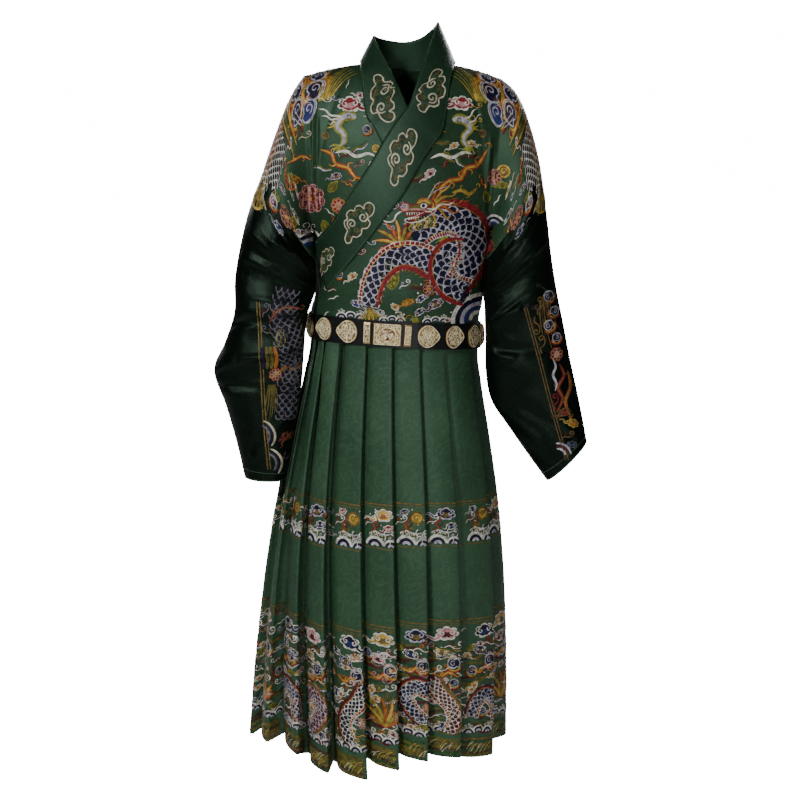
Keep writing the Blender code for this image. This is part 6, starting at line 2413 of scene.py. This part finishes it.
def hem_ground(needle, rng):
    """Dull wavy streaks that close the ground of the hem border between its motifs."""
    needle.frame()
    for k in range(17):
        y = HEM_FOOT + 46.0 + 9.5 * k
        left = FACE_LEFT + rng.uniform(-8.0, 16.0)
        line = [(left + 13.0 * step, y + rng.uniform(-5.0, 5.0)) for step in range(5)]
        needle.line(line, rng.uniform(2.6, 5.4), rng.choice(GROUND_DYES), 0.14, (0.2, 0.2))


def hem_water(needle, rng, steps):
    """Wavy streaks at the foot of the hem border, with spray and knots over them."""
    for k in range(7):
        y = HEM_FOOT + 1.5 + 5.2 * k
        line = [(FACE_LEFT - 8.0 + 12.0 * step, y + rng.uniform(-1.8, 1.8)) for step in range(steps)]
        needle.line(line, 4.6, rng.choice(WATER_DYES), 0.30 + 0.02 * k, (0.0, 0.0))
    for k in range(13):
        x = rng.uniform(-60.0, 0.0)
        y = HEM_FOOT + rng.uniform(3.0, 16.0)
        lean = rng.uniform(8.0, 20.0)
        spray = ((x, y), (x + 0.5 * lean, y + 11.0), (x + lean, y + 15.0))
        needle.line(spray, 1.3, rng.choice(SPRAY_DYES), 0.55, (0.0, 0.2))
    for k in range(9):
        needle.dot(rng.uniform(-58.0, 0.0), rng.uniform(HEM_FOOT + 50.0, HEM_TOP - 20.0), 1.4, "white", 1.3)


def hem_border(i, rng, detail):
    """Deep woven border at the hem on one pleat."""
    needle = Needle(Pleat(i), detail)
    for z, width in ((HEM_TOP, 2.6), (HEM_TOP - 5.5, 1.4), (HEM_TOP - 9.0, 1.0)):
        band_line(needle, i, z, width, "dull_gold")
    hem_ground(needle, rng)
    hand = 1.0 if i % 2 else -1.0
    x = -22.0 + rng.uniform(-4.0, 4.0)
    palettes = (DUSK, ("white", "gold", "dull_gold"), ("lilac", "navy", "dull_gold"), ROSE)
    rows = []
    for row in range(8):
        for column in range(3):
            kind, size, *extra = rng.choice(FILL)
            place = (-54.0 + 24.0 * column + rng.uniform(-6.0, 6.0),
                     HEM_TOP - 50.0 - 22.0 * row + rng.uniform(-6.0, 6.0))
            rows.append((kind, place, rng.uniform(-25.0, 25.0), size * rng.uniform(0.8, 1.15),
                         rng.choice((-1.0, 1.0)), *extra))
    foot = HEM_TOP - 180.0 + rng.uniform(-10.0, 10.0)
    rows += [
        ("cloud", (x, HEM_TOP - 24.0), rng.uniform(-8.0, 8.0), 1.16, hand, *palettes[i % 4]),
        ("curl", (x + 14.0, HEM_TOP - 46.0), 0.0, 1.1, 1.0, "white",
         ("red", "pink", "orange", "wine")[i % 4]),
        ("cloud", (x - 10.0, HEM_TOP - 60.0), -12.0, 0.80, -1.0, *palettes[(i + 2) % 4]),
        ("swirl", (x + 12.0, HEM_TOP - 82.0), 10.0, 0.62, 1.0),
        flow(((x - 28.0, foot + 84.0), (x - 12.0, foot + 76.0), (x + 2.0, foot + 86.0),
              (x + 18.0, foot + 78.0)), 9.0),
    ]
    if i % 4 != 1:
        shape = HEM_BODIES[i % 3]
        coil = [(x + across * hand, foot + up) for across, up in shape]
        scaled_body(needle, coil, lambda t: 36.0 - 9.0 * t, 9.5, ("navy", "ink", "navy", "wine")[i % 4],
                    ("lilac", "white", "lilac")[i % 3], ("wine", "dull_gold")[i % 2], side=hand, spikes=False,
                    lift=0.62, rim_width=1.6)
    else:
        rows.append(("wing", (x, foot - 14.0), 6.0, 0.95, 1.0))
        rows.append(("hair", (x + 2.0, foot + 10.0), 0.0, 1.0, 1.0, 50.0, 9, 4.0, 8.0,
                     ("dull_gold", "olive")))
    rows += [
        ("cloud", (x - 24.0, foot + 52.0), 50.0, 0.62, 1.0, *SUN),
        ("flower", (x + 20.0, foot + 8.0), 0.0, 1.0, 1.0, 10.0, "red", "orange", "pink"),
        ("bank", (x - 4.0, HEM_FOOT + 44.0), 0.0, 1.0, 1.0, 4, 13.0),
    ]
    if i in SIDE_PLEATS:
        rows.append(("bank", (22.0, HEM_FOOT + 44.0), 0.0, 1.0, 1.0, 2, 12.0))
    rows += side_fill(i, rng, HEM_TOP - 20.0, HEM_FOOT + 60.0)
    lay(needle, rows)
    hem_water(needle, rng, 10 if i in SIDE_PLEATS else 7)
    return needle


def damask_pleat(i, rng, detail):
    """Tone on tone clouds over the plain stretches of one pleat."""
    needle = Needle(Pleat(i), detail)
    z = -520.0 - rng.uniform(0.0, 20.0)
    while z > -985.0:
        if not KNEE_FOOT - 12.0 < z < KNEE_TOP + 12.0:
            needle.frame(rng.uniform(-30.0, -12.0), z, rng.uniform(-40.0, 40.0), rng.uniform(0.7, 1.1),
                         rng.choice((-1.0, 1.0)))
            for line in (spiral(-4.0, 0.0, 6.0, 1.2, 90.0), spiral(8.0, 4.0, 4.6, 1.1, 200.0, -1.0),
                         ((-14.0, -6.0), (-4.0, -10.0), (4.0, -5.0), (14.0, -8.0))):
                needle.line(line, 1.0, "light_green", 0.10, dome=0.05)
        z -= rng.uniform(22.0, 32.0)
    return needle


FRONT_PLEATS = 9


def skirt_bands():
    """Woven bands of the skirt, pleat by pleat, joined into a few pieces."""
    rng = random.Random(7)
    for name, make in (("knee_band", knee_band), ("hem_border", hem_border), ("skirt_damask", damask_pleat)):
        for half, members, detail in (("front", range(0, FRONT_PLEATS), 0.85),
                                      ("back", range(FRONT_PLEATS, len(PLEATS)), 0.6)):
            made = [make(i, rng, detail) for i in members]
            first = made[0]
            for other in made[1:]:
                first.join(other)
            first.finish(name + "_" + half, "skirt_silk")


# Width of a seam in mm
SEAM_WIDTH = 1.3
# Across and up of the four rows of points of a stitched ridge, in half widths and mm
SEAM_PROFILE = ((-1.0, -0.2), (-0.4, 0.45), (0.4, 0.45), (1.0, -0.2))


def stitched(name, lines):
    """Seams as fine stitched ridges along rows of points with their outward directions."""
    bm = bmesh.new()
    layer = bm.loops.layers.uv.verify()
    for line in lines:
        before = None
        along = 0.0
        for k, (point, outward) in enumerate(line):
            following = line[min(k + 1, len(line) - 1)][0] - line[max(k - 1, 0)][0]
            across = following.cross(outward).normalized() * (0.5 * SEAM_WIDTH * MM)
            made = [bm.verts.new(point + across * side + outward * (lift * MM))
                    for side, lift in SEAM_PROFILE]
            if before:
                step = (point - line[k - 1][0]).length
                for i in range(3):
                    face = bm.faces.new((before[i], made[i], made[i + 1], before[i + 1]))
                    corners = ((along, i), (along + step, i), (along + step, i + 1), (along, i + 1))
                    for loop, (u, v) in zip(face.loops, corners):
                        loop[layer].uv = (u, v * 0.4 * MM)
                along += step
            before = made
    return new_object(name, bm, [THREADS["light_green"]])


def sleeve_ring(side, where):
    """Ring of points round a sleeve with their outward directions."""
    def place(along, angle, face):
        """Point of this sleeve."""
        return sleeve_skin(side, along, angle, face)
    ring = []
    middle = place(where, 0.5 * math.pi, FACE_FRONT).lerp(place(where, 0.5 * math.pi, FACE_BACK), 0.5)
    for face, steps in ((FACE_FRONT, range(0, 25)), (FACE_BACK, range(23, -1, -1))):
        for k in steps:
            angle = math.pi * k / 24.0
            point = place(where, angle, face)
            beside = place(where, angle + 0.02, face) - place(where, angle - 0.02, face)
            along = place(where + 0.03, angle, face) - place(where - 0.03, angle, face)
            outward = beside.cross(along)
            if outward.dot(point - middle) < 0.0:
                outward.negate()
            ring.append((point, outward.normalized()))
    return ring


def make_seams():
    """Seams of the sleeves, their cuff hems and the centre of the back."""
    lines = []
    for side in (1, -1):
        last = len(sleeve_tables(side)[0]) - 1.0
        for where in (BODY_SECTIONS + 0.03, last - 0.30, last - 0.04):
            lines.append(sleeve_ring(side, where))
    back = []
    for k in range(61):
        t = mix(0.006, 0.855, k / 60.0)
        point = torso_skin(0.0, t, FACE_BACK)
        back.append((point, torso_normal(0.0, t, FACE_BACK)))
    lines.append(back)
    stitched("robe_seams", lines)


class Plate:
    """Canvas of one belt plaque: x along the belt and y up from its middle."""

    def __init__(self, path, distance):
        """Lays the canvas on the face of the plaque at this distance along the strap."""
        px, py = path.place(distance, 0.0)
        nx, ny = path.normal(distance)
        tilt = waist_tilt(px, py)
        self.right = Vector((-ny, nx, 0.0))
        self.normal = Vector((nx, ny, 0.0))
        self.right.z = waist_tilt(px + self.right.x, py + self.right.y) - tilt
        self.right.normalize()
        self.up = self.normal.cross(self.right)
        self.origin = Vector((px, py, WAIST_Z + tilt)) + self.normal * (SEAM_GAP + PLAQUE_THICKNESS)

    def __call__(self, x, y):
        """Point and outward direction at a place on the canvas."""
        return self.origin + self.right * x + self.up * y, self.normal


# Spacing of the scrolls on the plaques in mm, and the height of a row in spacings
SCROLL_PITCH = 4.9
SCROLL_ROW = 0.86


def scroll_field(needle, rng, rim, half_w, half_h, ringed):
    """Close rows of small scrolls inside the rim, clear of the ring if there is one."""
    row = 0
    y = -half_h + 4.2
    while y < half_h - 3.2:
        x = -half_w + 4.0 + (0.5 * SCROLL_PITCH if row % 2 else 0.0)
        while x < half_w - 3.0:
            place = (x + rng.uniform(-0.5, 0.5), y + rng.uniform(-0.5, 0.5))
            ring = abs(math.hypot(place[0] / 15.0, place[1] / 12.0) - 1.0)
            if (not ringed or ring > 0.17) and inside(rim, *place, 2.1):
                scroll = spiral(*place, 2.7, 1.0, rng.uniform(0.0, 360.0), rng.choice((-1.0, 1.0)))
                needle.line(scroll, 1.65, "gilt", 0.0, (0.1, 0.2), dome=0.75)
            x += SCROLL_PITCH
        y += SCROLL_PITCH * SCROLL_ROW
        row += 1


def medallion(needle):
    """Dark oval with a ring, nine scrolls and a boss, in the middle of the centre plaque."""
    needle.fill(lobed(0.0, 0.0, 13.0, 10.0, 16, 0.02), "wine", 0.10)
    needle.ring(lobed(0.0, 0.0, 15.4, 12.4, 16, 0.02), 1.6, "gilt", 0.05, dome=0.9)
    for k in range(9):
        angle = 2.0 * math.pi * k / 9.0
        scroll = spiral(8.0 * math.cos(angle), 6.0 * math.sin(angle), 3.0, 1.1, math.degrees(angle))
        needle.line(scroll, 1.3, ("gilt", "red", "gilt")[k % 3], 0.2, dome=0.6)
    needle.fill(lobed(0.0, 0.0, 4.0, 3.2, 6, 0.2), "gilt", 0.6)


def plaque_relief():
    """Rims and close scrollwork in relief on all the belt plaques."""
    rng = random.Random(11)
    path = belt_path(STRAP_CLEARANCE + STRAP_THICKNESS)
    start = path.distance(math.degrees(-math.acos((PLAQUE_MIDDLE_X - WAIST_X) / path.half)))
    first = None
    for name, shape, along, width, height, direction in PLAQUES:
        centre = name == "plaque_centre"
        needle = Needle(Plate(path, start + along), 1.4)
        outline = [(direction * x / MM, y / MM) for x, y in plaque_outline(shape, width, height)]
        small = 0.5 * min(width, height) / MM
        rim = [(x * (1.0 - 1.9 / small), y * (1.0 - 1.3 / small)) for x, y in outline]
        needle.line(rim, 1.7, "gilt", 0.05, closed=True, raw=True, dome=0.8)
        scroll_field(needle, rng, rim, 0.5 * width / MM, 0.5 * height / MM, centre)
        if centre:
            medallion(needle)
        if first:
            first.join(needle)
        else:
            first = needle
    first.finish("plaque_relief", "plaque_metal")


# Colours of the silk
GREEN = (0.0165, 0.0395, 0.0195)
SLEEVE_GREEN = (0.0019, 0.0038, 0.0023)
SKIRT_GREEN = (0.026, 0.060, 0.032)
COLLAR_GREEN = (0.0112, 0.0285, 0.0148)


def leather_material():
    """Black belt leather."""
    paint = Paint(bpy.data.materials.new("belt_leather"))
    grain = paint.add("TexVoronoi", paint.add("TexCoord", out="Object"), Scale=900.0, out="Distance")
    tone = paint.ramp(grain, (0.0, (0.002, 0.002, 0.003)), (1.0, (0.008, 0.008, 0.009)))
    paint.fill(paint.shader, Base_Color=tone, Roughness=0.42, Specular_IOR_Level=0.25)
    paint.bump(grain, 0.3, 0.0003)
    return paint.owner


def metal_material(name, colour, roughness):
    """Cast gilt metal, its colour darker where its bump is low and lighter where it is high."""
    paint = Paint(bpy.data.materials.new(name))
    relief_grain = paint.grain(260.0, 5.0, 0.6)
    tone = paint.ramp(relief_grain, (0.30, shade(colour, 0.45)), (0.50, colour), (0.72, shade(colour, 1.2)))
    paint.fill(paint.shader, Base_Color=tone, Metallic=1.0, Roughness=roughness)
    paint.bump(relief_grain, 0.35, 0.0004)
    return paint.owner


def set_material(node, material):
    """Own material on a carried-over node."""
    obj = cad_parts[node]
    obj.data.materials.clear()
    obj.data.materials.append(material)


def stage_object(name, data):
    """Object that only the stage needs."""
    obj = bpy.data.objects.new(name, data)
    bpy.context.scene.collection.objects.link(obj)
    return obj


def area_light(name, place, target, size, power):
    """Square soft light aimed at a point."""
    data = bpy.data.lights.new(name, "AREA")
    data.size = size
    data.energy = power
    light = stage_object(name, data)
    light.location = place
    light.rotation_euler = (Vector(target) - Vector(place)).to_track_quat("-Z", "Y").to_euler()


FLOOR_Z = -1.62
# Strength of the white that only the camera sees, and how much of it hides the paper
WHITE = 20.0
PAPER_SHARE = 0.93
CAMERA_PLACE = (0.0, -3.0, 0.02)
CAMERA_PITCH = 11.83
CAMERA_LENS = 73.7


def lay_white(paint, share, white, output):
    """Lays white over the shader by a share."""
    both = paint.add("MixShader", share, paint.shader.outputs[0], white)
    paint.fill(paint.tree.nodes[output], Surface=both)


def paper_material():
    """White paper that keeps only the soft shadow."""
    paint = Paint(bpy.data.materials.new("floor_paper"))
    paint.fill(paint.shader, Base_Color=(0.86, 0.86, 0.85, 1.0), Roughness=0.9)
    seen = paint.add("LightPath", out="Is Camera Ray")
    share = paint.add("Math", seen, PAPER_SHARE, operation="MULTIPLY")
    lay_white(paint, share, paint.add("Emission", Strength=WHITE), "Material Output")
    return paint.owner


def make_world():
    """Faint even light, with white behind everything."""
    paint = Paint(bpy.data.worlds.new("studio"), "Background")
    paint.fill(paint.shader, Strength=0.032, Color=(1.0, 1.0, 1.0, 1.0))
    seen = paint.add("LightPath", out="Is Camera Ray")
    lay_white(paint, seen, paint.add("Background", Strength=WHITE), "World Output")
    bpy.context.scene.world = paint.owner


def make_stage():
    """Pale floor, soft studio light and the camera."""
    bm = bmesh.new()
    bmesh.ops.create_grid(bm, x_segments=1, y_segments=1, size=14.0)
    mesh = bpy.data.meshes.new("floor")
    bm.to_mesh(mesh)
    bm.free()
    mesh.materials.append(paper_material())
    floor = stage_object("floor", mesh)
    floor.location = (0.0, 0.0, FLOOR_Z)
    area_light("key", (-1.25, -2.40, 0.9), (-0.02, 0.0, -0.45), 0.40, 69.0)
    area_light("low", (0.5, -2.6, -0.7), (-0.05, 0.0, -1.0), 0.7, 15.0)
    area_light("back_right", (1.5, 2.2, 0.9), (0.0, 0.0, -0.5), 0.8, 38.0)
    area_light("back_left", (-1.7, 2.0, 0.5), (0.0, 0.0, -0.6), 0.8, 26.0)
    make_world()
    data = bpy.data.cameras.new("camera")
    data.lens = CAMERA_LENS
    data.sensor_width = 36.0
    camera = stage_object("camera", data)
    camera.location = CAMERA_PLACE
    camera.rotation_euler = (math.radians(90.0 - CAMERA_PITCH), 0.0, 0.0)
    bpy.context.scene.camera = camera


def make_cloth():
    """All cloth pieces, and what the thread work is laid on."""
    body_silk = silk_material("body_silk", GREEN, 0.40, 0.12, 0.30)
    sleeve_silk = silk_material("sleeve_silk", SLEEVE_GREEN, 0.27, 0.05, 0.12)
    skirt_silk = silk_material("skirt_silk", SKIRT_GREEN, 0.42, 0.16, 0.30)
    collar_silk = silk_material("collar_silk", COLLAR_GREEN, 0.40, 0.08, 0.30)
    pieces = {
        "body_left": skin_body(1, "body_left", OUTER_FRONT_EDGE, body_silk),
        "body_right": skin_body(-1, "body_right", INNER_FRONT_EDGE, body_silk),
        "sleeve_left": skin_sleeve(1, "sleeve_left", sleeve_silk),
        "sleeve_right": skin_sleeve(-1, "sleeve_right", sleeve_silk),
        "skirt": skin_skirt(skirt_silk),
    }
    front_tree = surface_tree(FACE_FRONT)
    back_tree = surface_tree(FACE_BACK)
    collar, collar_points = skin_collar(front_tree, back_tree, collar_silk)
    pieces["collar"] = collar
    return pieces, collar_points


def lay_thread_work(pieces, collar_points):
    """All embroidery and woven figures."""
    body_tree = skin_tree((pieces["body_left"], pieces["body_right"]))
    torso_front(body_tree)
    torso_back(body_tree)
    arm_top(1)
    arm_top(-1)
    sleeve_band_right(skin_tree((pieces["sleeve_right"],)))
    sleeve_band_left(skin_tree((pieces["sleeve_left"],)))
    collar_clouds(collar_points)
    skirt_bands()
    plaque_relief()
    make_seams()


pieces, collar_points = make_cloth()
lay_thread_work(pieces, collar_points)
set_material("belt_strap", leather_material())
plate_metal = metal_material("plaque_ground", (0.34, 0.23, 0.10), 0.45)
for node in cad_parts:
    if node.startswith("plaque"):
        set_material(node, plate_metal)
make_stage()
